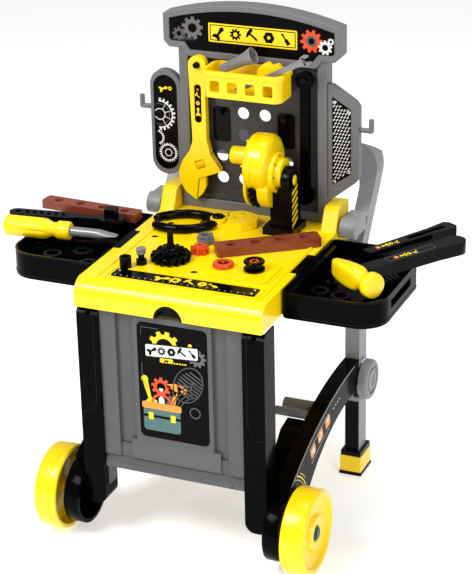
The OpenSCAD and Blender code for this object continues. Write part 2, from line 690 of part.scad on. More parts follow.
// ---- tools on the trays -----------------------------------------------------------------
hammer_at = [244, -94];
hammer_z = tray_z + 18;
hammer_len = (reach - 17 - hammer_at[0]) / cos(hammer_turn);
module hammer_head() color(yellow) translate([hammer_at[0], hammer_at[1], hammer_z]) rotate(hammer_turn - 90)
    difference() {
        union() {
            rotate([0, 90, 0]) translate([0, 0, 14]) cylinder(r = 13, h = 16);
            rotate([0, 90, 0]) translate([0, 0, 29]) cylinder(r = 19, h = 18);
            box([-18, 16], [-15, 15], [-17, 17]);
            flat_plate([-14, 14]) polygon([[-17, -13], [-17, 13], [-46, 9], [-50, -6]]);
        }
        box([-13, 13], [-10, 16], [-10, 10]);
    }
module hammer_handle() color(black) translate([hammer_at[0], hammer_at[1], hammer_z]) rotate(hammer_turn) {
    flat_plate([-9.8, 9.8]) polygon([[-9.7, -12.7], [15.5, -12.7], [60, -11], [hammer_len - 40, -13],
        [hammer_len, -17], [hammer_len, 17], [hammer_len - 40, 13], [60, 11], [15.5, 12.7], [-9.7, 12.7]]);
    translate([hammer_len, 0, -9.8]) cylinder(r = 17, h = 19.6);
}

module long_tool() color(black) translate([238, -22, tray_z + 14.5]) rotate(60) difference() {
    flat_plate([-14, 14]) polygon([[0, -9], [128, -11], [166, -15], [172, -8], [172, 8], [166, 15],
        [128, 11], [0, 9]]);
    flat_plate([8, 15]) polygon(round_box(80, 155, -4, 4, 3.9));
}

screwdriver_at = [-334, -84];
screwdriver_z = tray_z + 17;
module screwdriver_handle() color(yellow) translate([screwdriver_at[0], screwdriver_at[1], screwdriver_z])
    rotate([0, 90, 5]) difference() {
        union() {
            cylinder(r = 14, h = 76);
            translate([0, 0, 2]) rotate_extrude() polygon([[0, 0], [16, 0], [16, 70], [10.5, 82], [14.5, 88],
                [14.5, 108], [0, 108]]);
        }
        for (i = [0:7]) rotate(45 * i) translate([17.5, 0, 8]) cylinder(r = 3.2, h = 56);
        translate([0, 0, 100]) cylinder(r = 7.5, h = 12);
    }
module screwdriver_blade() color("#9a9a9c") translate([screwdriver_at[0], screwdriver_at[1], screwdriver_z])
    rotate([0, 90, 5]) {
        translate([0, 0, 100]) cylinder(r = 7.5, h = 68);
        translate([0, 0, 168]) cylinder(r1 = 7.5, r2 = 2, h = 18);
    }

module ratchet_wrench() color(black) translate([12 - reach, -18, tray_z + gap]) rotate(8) difference() {
    union() {
        flat_plate([0, 13]) polygon(concat(arc(0, 0, 12, 90, 270, 10), [[96, -12], [104, -7], [150, -7],
            [150, 7], [104, 7], [96, 12]]));
        translate([158, 0, 0]) cylinder(r = 21, h = 15);
        translate([149, -9, 15]) cube([18, 18, 15]);
    }
    translate([2, 0, -1]) cylinder(r = 4.5, h = 16);
    for (i = [0:5]) translate([18 + i * 12, 0, 10]) rotate(30) translate([-2.5, -6, 0]) cube([5, 12, 4]);
}

rear_frame();
knuckle_caps();
feet();
foot_pads();
hub_pins();
worktop();
hinge_ears();
ruler_strip();
front_grip();
table_peg();
gear_cluster();
red_gear();
castle_nut();
red_screw();
black_screw();
strip_table();
front_panel();
post_left();
post_right();
panel_decal();
rail_left();
rail_right();
cross_tubes();
axles();
rail_decals();
wheel_left();
wheel_right();
hub_cap_left();
hub_cap_right();
tray_left();
tray_right();
tray_left_parts();
tray_right_parts();
board_frame();
board_panel();
header();
header_decal();
wing_left();
wing_right();
wing_decals();
coat_hooks();
board_pegs();
basket();
basket_tools();
wrench_body();
wrench_jaw();
wrench_worm();
socket_wrench();
saw_body();
saw_handle();
saw_blade();
pliers_lower();
pliers_upper();
hammer_head();
hammer_handle();
screwdriver_handle();
screwdriver_blade();
ratchet_wrench();
long_tool();
strip_tray();
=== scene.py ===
import json
import math

import bmesh
import bpy
from mathutils import Matrix, Vector
from mathutils.geometry import tessellate_polygon


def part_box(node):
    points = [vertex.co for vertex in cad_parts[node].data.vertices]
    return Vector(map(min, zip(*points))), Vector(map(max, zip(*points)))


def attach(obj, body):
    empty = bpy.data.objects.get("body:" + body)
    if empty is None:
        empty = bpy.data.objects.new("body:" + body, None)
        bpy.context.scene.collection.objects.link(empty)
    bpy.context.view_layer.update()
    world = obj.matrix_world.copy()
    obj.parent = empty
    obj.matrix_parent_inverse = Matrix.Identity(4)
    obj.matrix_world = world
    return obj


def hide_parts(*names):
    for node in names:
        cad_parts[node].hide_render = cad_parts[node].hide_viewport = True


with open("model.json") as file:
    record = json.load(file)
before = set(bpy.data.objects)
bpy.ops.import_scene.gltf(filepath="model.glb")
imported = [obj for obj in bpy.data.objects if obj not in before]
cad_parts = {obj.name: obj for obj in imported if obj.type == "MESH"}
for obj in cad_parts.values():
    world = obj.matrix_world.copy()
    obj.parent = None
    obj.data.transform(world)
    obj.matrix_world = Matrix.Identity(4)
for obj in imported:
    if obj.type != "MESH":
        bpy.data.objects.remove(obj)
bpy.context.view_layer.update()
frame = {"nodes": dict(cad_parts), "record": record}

NODES = frame["nodes"]
MM = 0.001
MERGE = 0.000001        # metres; points of a drawn piece closer than this are one point
CAD_MERGE = 0.00002     # metres; the same for a CAD node's mesh
SHARP_ANGLE = 38        # degrees; edges sharper than this are not smoothed over
BUMP_DEPTH = 0.0003     # metres; height of the plastic's grain
SIDES = (-1, 1)
BOTH = ((-1, "left"), (1, "right"))


def span(node):
    """Lowest and highest corner of a CAD node in millimetres, as (x0, y0, z0), (x1, y1, z1)."""
    lo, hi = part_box(node)
    return [v * 1000 for v in lo], [v * 1000 for v in hi]


# ---------------------------------------------------------------- materials
def lin(c):
    """sRGB 0-255 to linear RGBA."""
    out = []
    for v in c:
        v = v / 255.0
        out.append(v / 12.92 if v <= 0.04045 else ((v + 0.055) / 1.055) ** 2.4)
    return (*out, 1.0)


def plastic(name, col, rough=0.3, vary=0.08, grain=0.12, size=0.9, spec=0.5, coat=0.0, wear=0.35, metal=0.0):
    """Moulded plastic: faint colour drift, fine grain in the bump, uneven gloss and paler worn edges."""
    m = bpy.data.materials.new(name)
    m.use_nodes = True
    nt = m.node_tree
    N, L = nt.nodes, nt.links
    p = N["Principled BSDF"]
    p.inputs["Specular IOR Level"].default_value = spec
    p.inputs["Metallic"].default_value = metal
    p.inputs["Coat Weight"].default_value = coat
    p.inputs["Coat Roughness"].default_value = 0.06
    tc = N.new("ShaderNodeTexCoord")

    def noise(scale, detail, rough_=0.5):
        n = N.new("ShaderNodeTexNoise")
        n.inputs["Scale"].default_value = scale
        n.inputs["Detail"].default_value = detail
        n.inputs["Roughness"].default_value = rough_
        L.new(tc.outputs["Object"], n.inputs["Vector"])
        return n

    def blend(factor, a, b):
        mix = N.new("ShaderNodeMix")
        mix.data_type = "RGBA"
        L.new(factor, mix.inputs["Factor"])
        if isinstance(a, tuple):
            mix.inputs["A"].default_value = a
        else:
            L.new(a, mix.inputs["A"])
        mix.inputs["B"].default_value = b
        return mix.outputs["Result"]

    def spread(value, lo, hi, out_lo, out_hi):
        r = N.new("ShaderNodeMapRange")
        for key, v in zip(("From Min", "From Max", "To Min", "To Max"), (lo, hi, out_lo, out_hi)):
            r.inputs[key].default_value = v
        L.new(value, r.inputs["Value"])
        return r.outputs["Result"]

    c = lin(col)[:3]
    drift = blend(noise(9.0, 3.0).outputs["Fac"], (*(x * (1 - vary) for x in c), 1),
                  (*(min(1, x * (1 + vary)) for x in c), 1))
    geo = N.new("ShaderNodeNewGeometry")
    edge = spread(geo.outputs["Pointiness"], 0.54, 0.64, 0.0, wear)
    worn = blend(edge, drift, (*(min(1, x * 1.2 + 0.02) for x in c), 1))
    L.new(worn, p.inputs["Base Color"])
    gloss = spread(noise(34.0, 4.0, 0.6).outputs["Fac"], 0.3, 0.7, max(0.03, rough - 0.06), rough + 0.06)
    L.new(gloss, p.inputs["Roughness"])
    b = N.new("ShaderNodeBump")
    b.inputs["Strength"].default_value = grain
    b.inputs["Distance"].default_value = BUMP_DEPTH
    L.new(noise(1000.0 / size, 2.0).outputs["Fac"], b.inputs["Height"])
    L.new(b.outputs["Normal"], p.inputs["Normal"])
    return m


def film(name, col, vary=0.04, spec=0.35):
    """Printed label ink: smooth, slightly glossy, no wear."""
    return plastic("printed_" + name, col, 0.32, vary, 0.03, 2.0, spec, wear=0.0)


M = {
    "yellow": plastic("yellow_plastic", (253, 216, 0), 0.24, 0.02, 0.04, spec=0.4, coat=0.15, wear=0.1),
    "grey": plastic("grey_plastic", (106, 106, 108), 0.4, 0.05, 0.2, 0.7, 0.35),
    "frame": plastic("frame_grey_plastic", (136, 136, 139), 0.4, 0.05, 0.2, 0.7, 0.35),
    "dark": plastic("dark_grey_plastic", (40, 40, 42), 0.38, 0.07, 0.2, 0.7, 0.25),
    "panel": plastic("panel_grey_plastic", (84, 84, 86), 0.42, 0.05, 0.2, 0.7, 0.3),
    "backboard": plastic("backboard_grey_plastic", (64, 64, 66), 0.42, 0.05, 0.2, 0.7, 0.3),
    "black": plastic("gloss_black_plastic", (4, 4, 5), 0.12, 0.15, 0.04, spec=0.09, wear=0.1),
    "satin": plastic("satin_black_plastic", (6, 6, 7), 0.19, 0.12, 0.1, spec=0.1, wear=0.1),
    "deep": plastic("deep_black_plastic", (4, 4, 5), 0.15, 0.15, 0.04, spec=0.035, wear=0.1),
    "brown": plastic("brown_plastic", (126, 58, 36), 0.26, 0.12, 0.12, spec=0.35),
    "orange": plastic("orange_plastic", (208, 66, 30), 0.24, 0.08, 0.08, spec=0.4),
    "silver": plastic("silver_grey_plastic", (128, 128, 131), 0.28, 0.06, 0.1, metal=0.2),
    "steel": plastic("bright_screw_metal", (200, 200, 203), 0.2, 0.03, 0.05, metal=0.85, wear=0.0),
    "ink": film("black", (5, 3, 3), 0.12, 0.06),
    "teal": plastic("dark_teal_plastic", (26, 56, 60), 0.25, 0.08, 0.06, spec=0.25),
    "p_yellow": film("yellow", (248, 212, 20)),
    "p_white": film("white", (222, 222, 220)),
    "p_grey": film("grey", (98, 96, 97)),
    "p_orange": film("orange", (226, 74, 34)),
    "p_amber": film("amber", (240, 152, 52)),
    "p_teal": film("teal", (74, 108, 108)),
    "p_line": film("line_grey", (78, 78, 79)),
}


# ---------------------------------------------------------------- outlines, in millimetres
def arc(cx, cy, r, a0, a1, n=8):
    return [(cx + r * math.cos(math.radians(a0 + (a1 - a0) * i / n)),
             cy + r * math.sin(math.radians(a0 + (a1 - a0) * i / n))) for i in range(n + 1)]


def circle(cx, cy, r, n=40):
    return arc(cx, cy, r, 0, 360, n)[:-1]


def rounded(x0, x1, y0, y1, r, n=5):
    return (arc(x1 - r, y0 + r, r, -90, 0, n) + arc(x1 - r, y1 - r, r, 0, 90, n)
            + arc(x0 + r, y1 - r, r, 90, 180, n) + arc(x0 + r, y0 + r, r, 180, 270, n))


def gear(cx, cy, r, depth, teeth, turn=0.0, wide=0.5):
    """Toothed outline whose teeth narrow a little towards their tips."""
    out = []
    step = 360 / teeth
    for i in range(teeth):
        a = turn + i * step
        for rr, off in ((r - depth, -wide * 0.62), (r, -wide * 0.4), (r, wide * 0.4),
                        (r - depth, wide * 0.62)):
            t = math.radians(a + off * step)
            out.append((cx + rr * math.cos(t), cy + rr * math.sin(t)))
    return out


def gear_band(cx, cy, r, depth, thick, a0, a1, pitch):
    """Part of a toothed ring between two angles, as one closed outline."""
    out = []
    n = round((a1 - a0) / pitch)
    for i in range(n):
        a = a0 + i * pitch
        for rr, off in ((r - depth, 0.0), (r - depth, 0.22), (r, 0.3), (r, 0.7), (r - depth, 0.78)):
            t = math.radians(a + off * pitch)
            out.append((cx + rr * math.cos(t), cy + rr * math.sin(t)))
    return out + arc(cx, cy, r - depth - thick, a1, a0, 3 * n)


def spanner(cx, cy, length, width, turn=0.0):
    """Small open-ended spanner mark."""
    w, h, j = width / 2, length / 2, width * 1.1
    pts = [(-w * 0.55, -h + j), (-j, -h + j * 0.5), (-j, -h - j * 0.4), (-w * 0.5, -h), (w * 0.5, -h),
           (j, -h - j * 0.4), (j, -h + j * 0.5), (w * 0.55, -h + j)]
    pts += arc(0, h - w, w * 1.25, -40, 220, 10)
    return moved(pts, cx, cy, turn)


def hammer_mark(cx, cy, length, turn=0.0):
    k = length / 10
    pts = [(-0.8, -5), (0.8, -5), (0.8, 2.4), (4, 2.4), (4, 5), (-1, 5), (-4.2, 3.4), (-3.6, 2.4),
           (-0.8, 2.4)]
    return moved([(x * k, y * k) for x, y in pts], cx, cy, turn)


def driver_mark(cx, cy, length, turn=0.0):
    k = length / 10
    pts = [(-1.5, -5), (1.5, -5), (1.5, -0.6), (0.6, 0), (0.6, 3.6), (1.2, 4.2), (0.8, 5), (-0.8, 5),
           (-1.2, 4.2), (-0.6, 3.6), (-0.6, 0), (-1.5, -0.6)]
    return moved([(x * k, y * k) for x, y in pts], cx, cy, turn)


def moved(loop, x, y, turn=0.0):
    c, s = math.cos(math.radians(turn)), math.sin(math.radians(turn))
    return [(x + c * px - s * py, y + s * px + c * py) for px, py in loop]


def squircle(a, b, e, n=44):
    """Closed curve between an ellipse (e = 2) and a rounded box (e = 5)."""
    out = []
    for i in range(n):
        c, s = math.cos(2 * math.pi * i / n), math.sin(2 * math.pi * i / n)
        out.append((math.copysign(a * abs(c) ** (2 / e), c), math.copysign(b * abs(s) ** (2 / e), s)))
    return out


def stroke(path, width):
    """Open line of a given width as a closed outline."""
    left, right = [], []
    for i, p in enumerate(path):
        a = Vector(path[max(i - 1, 0)])
        b = Vector(path[min(i + 1, len(path) - 1)])
        d = (b - a).normalized()
        n = Vector((-d.y, d.x)) * width / 2
        left.append((p[0] + n.x, p[1] + n.y))
        right.append((p[0] - n.x, p[1] - n.y))
    return left + right[::-1]


# ---------------------------------------------------------------- mesh kit
PLANES = {"XZ": lambda u, v, w: (u, w, v), "YZ": lambda u, v, w: (w, u, v), "XY": lambda u, v, w: (u, v, w)}


def towards(axis, at):
    """Turns local Z towards an axis, at a point."""
    return Matrix.Translation(at) @ Vector((0, 0, 1)).rotation_difference(Vector(axis)).to_matrix().to_4x4()


class Piece:
    """A mesh drawn in millimetres, which rides on a body and may stand in for CAD nodes."""

    def __init__(self, name, body, mats, slot, replaces=()):
        self.name, self.body, self.mats, self.slot, self.cad = name, body, mats, slot, replaces
        self.bm = bmesh.new()
        self.at = Matrix.Identity(4)

    def add(self, points, faces, mat=0):
        vs = [self.bm.verts.new((self.at @ Vector(p)) * MM) for p in points]
        for f in faces:
            if len(set(f)) > 2:
                face = self.bm.faces.new([vs[i] for i in f])
                face.material_index = mat
                face.smooth = True

    def plate(self, outer, lo, hi, plane="XZ", mat=0, holes=()):
        """Outline with holes, extruded from lo to hi across a plane."""
        loops = [list(outer)] + [list(h) for h in holes]
        flat = [p for loop in loops for p in loop]
        n = len(flat)
        to3 = PLANES[plane]
        tris = tessellate_polygon([[Vector((u, v, 0)) for u, v in loop] for loop in loops])
        faces = [tuple(t) for t in tris] + [tuple(i + n for i in t) for t in tris]
        start = 0
        for loop in loops:
            k = len(loop)
            faces += [(start + i, start + (i + 1) % k, start + (i + 1) % k + n, start + i + n)
                      for i in range(k)]
            start += k
        self.add([to3(u, v, lo) for u, v in flat] + [to3(u, v, hi) for u, v in flat], faces, mat)
        return self

    def loft(self, rings, mat=0, closed=False):
        """Skin over rings with equal numbers of points, capped at both ends."""
        k = len(rings[0])
        faces = []
        last = len(rings) if closed else len(rings) - 1
        for r in range(last):
            a, b = r * k, ((r + 1) % len(rings)) * k
            faces += [(a + i, a + (i + 1) % k, b + (i + 1) % k, b + i) for i in range(k)]
        if not closed:
            faces += [tuple(range(k)), tuple(range((len(rings) - 1) * k, len(rings) * k))]
        self.add([p for ring in rings for p in ring], faces, mat)
        return self

    def lathe(self, profile, axis, at, mat=0, n=64):
        """Closed profile of (radius, height) turned about an axis; radius 0 is a pole."""
        keep, self.at = self.at, self.at @ towards(axis, at)
        rings = [[(r * math.cos(2 * math.pi * i / n), r * math.sin(2 * math.pi * i / n), h) for i in range(n)]
                 for r, h in profile]
        self.loft(rings, mat, closed=True)
        self.at = keep
        return self

    def tube(self, path, radius, mat=0, n=14, flat=1.0):
        """Rounded bar along a path; flat widens it across the plane of the path's first turn."""
        pts = [Vector(p) for p in path]
        up = Vector((0, 0, 1))
        rings = []
        for i, p in enumerate(pts):
            d = (pts[min(i + 1, len(pts) - 1)] - pts[max(i - 1, 0)]).normalized()
            side_ = d.cross(up if abs(d.z) < 0.95 else Vector((0, 1, 0))).normalized()
            over = side_.cross(d)
            r = radius[i] if isinstance(radius, (list, tuple)) else radius
            rings.append([p + side_ * (r * flat * math.cos(2 * math.pi * k / n)) + over * (r * math.sin(
                2 * math.pi * k / n)) for k in range(n)])
        self.loft(rings, mat)
        return self

    def done(self, bevel=0.6, seg=2, angle=30):
        bmesh.ops.remove_doubles(self.bm, verts=self.bm.verts, dist=MERGE)
        bmesh.ops.dissolve_degenerate(self.bm, edges=self.bm.edges, dist=MERGE)
        bmesh.ops.recalc_face_normals(self.bm, faces=self.bm.faces)
        me = bpy.data.meshes.new(self.name)
        self.bm.to_mesh(me)
        self.bm.free()
        me.set_sharp_from_angle(angle=math.radians(SHARP_ANGLE))
        for m in self.mats:
            me.materials.append(M[m])
        o = bpy.data.objects.new(self.name, me)
        bpy.context.scene.collection.objects.link(o)
        if bevel:
            soften(o, bevel, seg, angle)
        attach(o, self.body)
        if self.cad:
            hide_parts(*self.cad)
        return o


def soften(o, width, seg=2, angle=30):
    b = o.modifiers.new("soft_edges", "BEVEL")
    b.width = width * MM
    b.segments = seg
    b.limit_method = "ANGLE"
    b.angle_limit = math.radians(angle)
    b.use_clamp_overlap = True
    b.harden_normals = True


def dress_cad(node, mat, width=0.8, seg=2, angle=30):
    """Gives a CAD node its material, and modifiers that merge and soften its edges."""
    o = NODES[node]
    if not o.data.materials:
        o.data.materials.append(M[mat])
    for s in o.material_slots:
        s.link = "OBJECT"
        s.material = M[mat]
    w = o.modifiers.new("weld", "WELD")
    w.merge_threshold = CAD_MERGE
    soften(o, width, seg, angle)


# the look of each material slot, then the nodes that differ from their slot, then bevel widths in millimetres
SLOT_LOOK = {"grey_plastic": "grey", "yellow_plastic": "yellow", "black_plastic": "black",
             "dark_plastic": "dark", "brown_plastic": "brown", "orange_plastic": "orange",
             "silver_plastic": "silver", "label": "ink"}
LOOK = {"rear_frame": "frame", "knuckle_caps": "frame", "front_panel": "panel", "board_panel": "backboard",
        "socket_wrench": "deep", "tray_left": "deep", "tray_right": "deep", "rail_left": "deep",
        "rail_right": "deep", "post_left": "deep", "post_right": "deep", "hinge_ears": "deep",
        "header_decal": "ink", "tray_left_parts": "satin", "saw_handle": "satin", "hub_cap_left": "satin",
        "hub_cap_right": "satin", "foot_pads": "satin", "rail_decals": "p_amber"}
SOFT = {"worktop": 2.2, "hammer_handle": 2.2, "long_tool": 1.8, "strip_table": 1.4, "strip_tray": 1.4,
        "post_left": 2.4, "post_right": 2.4, "rail_left": 2.2, "rail_right": 2.2, "rear_frame": 2.2,
        "tray_left": 1.4, "tray_right": 1.4, "header": 1.6, "wing_left": 2.0, "wing_right": 2.0,
        "board_frame": 1.6, "feet": 1.6, "foot_pads": 1.0, "wrench_body": 1.6, "socket_wrench": 2.4,
        "ratchet_wrench": 1.2, "basket": 1.2, "saw_handle": 2.0, "knuckle_caps": 2.5}
PLAIN_BEVEL = 0.7
for row in frame["record"]["subparts"]:
    look = LOOK.get(row["node"], SLOT_LOOK[row["material_slot"]])
    dress_cad(row["node"], look, SOFT.get(row["node"], PLAIN_BEVEL), 3)


def centre(node):
    lo, hi = span(node)
    return [(a + b) / 2 for a, b in zip(lo, hi)]


# ---------------------------------------------------------------- wheels and knuckles
def wheels():
    for s, name in BOTH:
        lo, hi = span("wheel_" + name)
        y, z, r = (lo[1] + hi[1]) / 2, (lo[2] + hi[2]) / 2, (hi[2] - lo[2]) / 2
        w = hi[0] - lo[0]
        inner = hi[0] if s < 0 else lo[0]
        profile = [(6, 0), (12, 0), (12, 17), (r - 9, 20), (r - 7, 1), (r - 3, 0), (r - 1, 1), (r, 4),
                   (r, 9), (r - 0.7, 9.7), (r - 0.7, 10.8), (r, 11.5), (r, w - 8), (r - 0.6, w - 4.5),
                   (r - 2.2, w - 2), (r - 5, w - 0.5), (r - 8.5, w), (r - 11, w - 1.2), (r - 13, w - 4.5),
                   (r - 16.5, w - 7.5), (r - 22, w - 8.8), (32, w - 9.5), (29.5, w - 8.5), (28, w - 5),
                   (26.5, w - 2.6), (24, w - 1.8), (16, w - 1.8), (13.4, w - 2.6), (12.3, w - 4),
                   (12.3, w - 11), (6, w - 11)]
        p = Piece("wheel_" + name + "_moulding", "wheel_" + name, ["yellow"], "yellow_plastic",
                  ["wheel_" + name])
        p.lathe(profile, (s, 0, 0), (inner, y, z), n=120)
        p.done(0)
        p = Piece("hub_cap_" + name + "_nut", "wheel_" + name, ["teal"], "dark_plastic", ["hub_cap_" + name])
        cap = [(0, w - 10.9), (12, w - 10.9), (12, w - 3.5), (10.8, w - 2), (8.5, w - 1.2), (0, w - 1)]
        p.lathe(cap, (s, 0, 0), (inner, y, z), n=48)
        face = inner + s * (w - 1.2)
        p.plate([(y + u, z + v) for u, v in circle(0, 0, 8.6, 6)], *sorted((face, face + s * 1.1)), "YZ")
        p.done(0.4)


def knuckles():
    lo, hi = span("knuckle_caps")
    y, z, r = (lo[1] + hi[1]) / 2, (lo[2] + hi[2]) / 2, (hi[2] - lo[2]) / 2
    p = Piece("knuckle_drums", "rear_frame", ["frame"], "grey_plastic", ["knuckle_caps"])
    x0 = 176.5              # the drums stand on the legs' outer faces
    w = hi[0] - x0
    for s in SIDES:
        profile = [(8, 0), (r - 2, 0), (r, 2), (r, w - 5), (r - 1, w - 2.2), (r - 3.4, w - 0.6), (r - 6, w),
                   (r - 9, w), (r - 10, w - 0.8), (r - 10.4, w - 2.6), (r - 14, w - 2.6), (r - 14.4, w - 0.8),
                   (r - 15.4, w), (10, w), (8.6, w - 0.5), (8.2, w - 1.6), (0, w - 1.6), (0, w - 3),
                   (8, w - 3)]
        p.lathe(profile, (s, 0, 0), (s * x0, y, z), n=96)
    p.done(0)


# ---------------------------------------------------------------- printed graphics
def header_print():
    lo = span("header_decal")[0]
    y, z0 = lo[1], lo[2]
    inks = ["p_yellow", "ink", "p_grey", "p_orange", "p_white", "p_line"]
    p = Piece("header_print", "board", inks, "label")
    mid = z0 + 31
    plate = rounded(-70, 76, mid - 15, mid + 15, 2)
    p.plate(plate, y - 0.3, y, mat=0)
    p.plate(rounded(-67.6, 73.6, mid - 12.6, mid + 12.6, 1.5), y - 0.45, y - 0.25, mat=1,
            holes=[rounded(-66.2, 72.2, mid - 11.2, mid + 11.2, 1.2)])
    at = y - 0.5, y - 0.25
    p.plate(spanner(-52, mid, 20, 6, -35), *at, mat=1)
    p.plate(gear(-25, mid, 9.5, 2.6, 9), *at, mat=1, holes=[circle(-25, mid, 3.6, 20)])
    p.plate(hammer_mark(3, mid, 20, 52), *at, mat=1)
    p.plate(circle(30, mid, 9.5, 6), *at, mat=1, holes=[circle(30, mid, 2.8, 20)])
    p.plate(driver_mark(57, mid, 20, 35), *at, mat=1)
    p.plate(gear(-97, mid + 4, 18, 4.5, 9, 8), y - 0.3, y, mat=2, holes=[circle(-97, mid + 4, 7.5)])
    p.plate(gear(-120, mid - 7, 11, 3, 8), y - 0.3, y, mat=5, holes=[circle(-120, mid - 7, 4)])
    p.plate(gear(99, mid + 1, 18, 4.2, 10, 5), y - 0.3, y, mat=3, holes=[circle(99, mid + 1, 8.5)])
    p.plate(gear(99, mid + 1, 8.5, 1.2, 12), y - 0.2, y, mat=2, holes=[circle(99, mid + 1, 5.2)])
    p.plate(gear(121, mid - 7, 11.5, 2.8, 9, 12), y - 0.45, y, mat=4, holes=[circle(121, mid - 7, 5)])
    p.plate(gear(130, mid + 3, 5.5, 1.5, 8), y - 0.6, y, mat=4, holes=[circle(130, mid + 3, 2.4, 16)])
    for i in range(9):
        dash = moved(rounded(-0.7, 0.7, -4, 4, 0.5), -128 + i * 4.2, z0 + 17 + 0.2 * i, -30)
        p.plate(dash, y - 0.2, y, mat=5)
    p.done(0)


def wing_prints():
    y = span("wing_decals")[0][1]
    x0, z0, z1 = -169, 492, 648     # the left side plate
    p = Piece("wing_left_print", "board", ["p_white", "p_yellow", "p_line", "ink"], "label")
    cx, cz = x0 + 10, z0 + 91
    p.plate(gear_band(cx, cz, 27, 4.2, 2, -96, 96, 16), y - 0.25, y, mat=0)
    p.plate(stroke(arc(cx, cz, 17, -110, 110, 20), 1.1), y - 0.25, y, mat=2)
    p.plate(stroke(arc(cx, cz, 9, -150, 150, 20), 1.4), y - 0.25, y, mat=0)
    for a in (-60, -20, 20, 60):
        d = math.cos(math.radians(a)), math.sin(math.radians(a))
        spoke = stroke([(cx + 9.5 * d[0], cz + 9.5 * d[1]), (cx + 20 * d[0], cz + 20 * d[1])], 1)
        p.plate(spoke, y - 0.25, y, mat=0)
    cx, cz = x0 + 23, z0 + 28
    p.plate(gear(cx, cz, 16, 2.6, 22), y - 0.25, y, mat=0, holes=[circle(cx, cz, 11.8)])
    p.plate(circle(cx, cz, 6.4, 30), y - 0.25, y, mat=0, holes=[circle(cx, cz, 5, 30)])
    for a in range(0, 360, 60):
        c, s_ = math.cos(math.radians(a)), math.sin(math.radians(a))
        p.plate(circle(cx + 9 * c, cz + 9 * s_, 1.1, 12), y - 0.25, y, mat=2)
    p.plate(gear_band(x0 + 4, z0 + 52, 13, 2.2, 1.4, -72, 84, 19), y - 0.25, y, mat=0)
    p.plate(spanner(x0 + 18, z1 - 22, 13, 4, -70), y - 0.25, y, mat=1)
    p.plate(gear(x0 + 29, z1 - 21, 3.6, 1.1, 7), y - 0.25, y, mat=1,
            holes=[circle(x0 + 29, z1 - 21, 1.4, 12)])
    p.done(0)

    p = Piece("wing_right_mesh", "board", ["p_white", "steel", "ink"], "label")
    for row in range(24):
        for col in range(6):
            x, z = 134.2 + col * 4.9 + (row % 2) * 2.45, 507 + row * 5.5
            if x < 159.4 and z < 638 - (x - 131) * 0.6 and z > 505 + (x - 131) * 0.66:
                p.plate(moved(rounded(-2.3, 2.3, -0.8, 0.8, 0.7, 2), x, z, 48), y - 0.5, y, mat=0)
    for x, z in ((134.5, 506), (134.5, 634), (158, 524), (158, 620)):
        p.lathe([(0, 0), (3.1, 0), (3.1, 0.7), (2.4, 1.4), (0, 1.6)], (0, -1, 0), (x, y + 0.1, z), 1, 20)
        p.plate(moved(rounded(-2, 2, -0.35, 0.35, 0.2, 2), x, z, 40), y - 1.7, y - 1.4, mat=2)
    p.done(0)


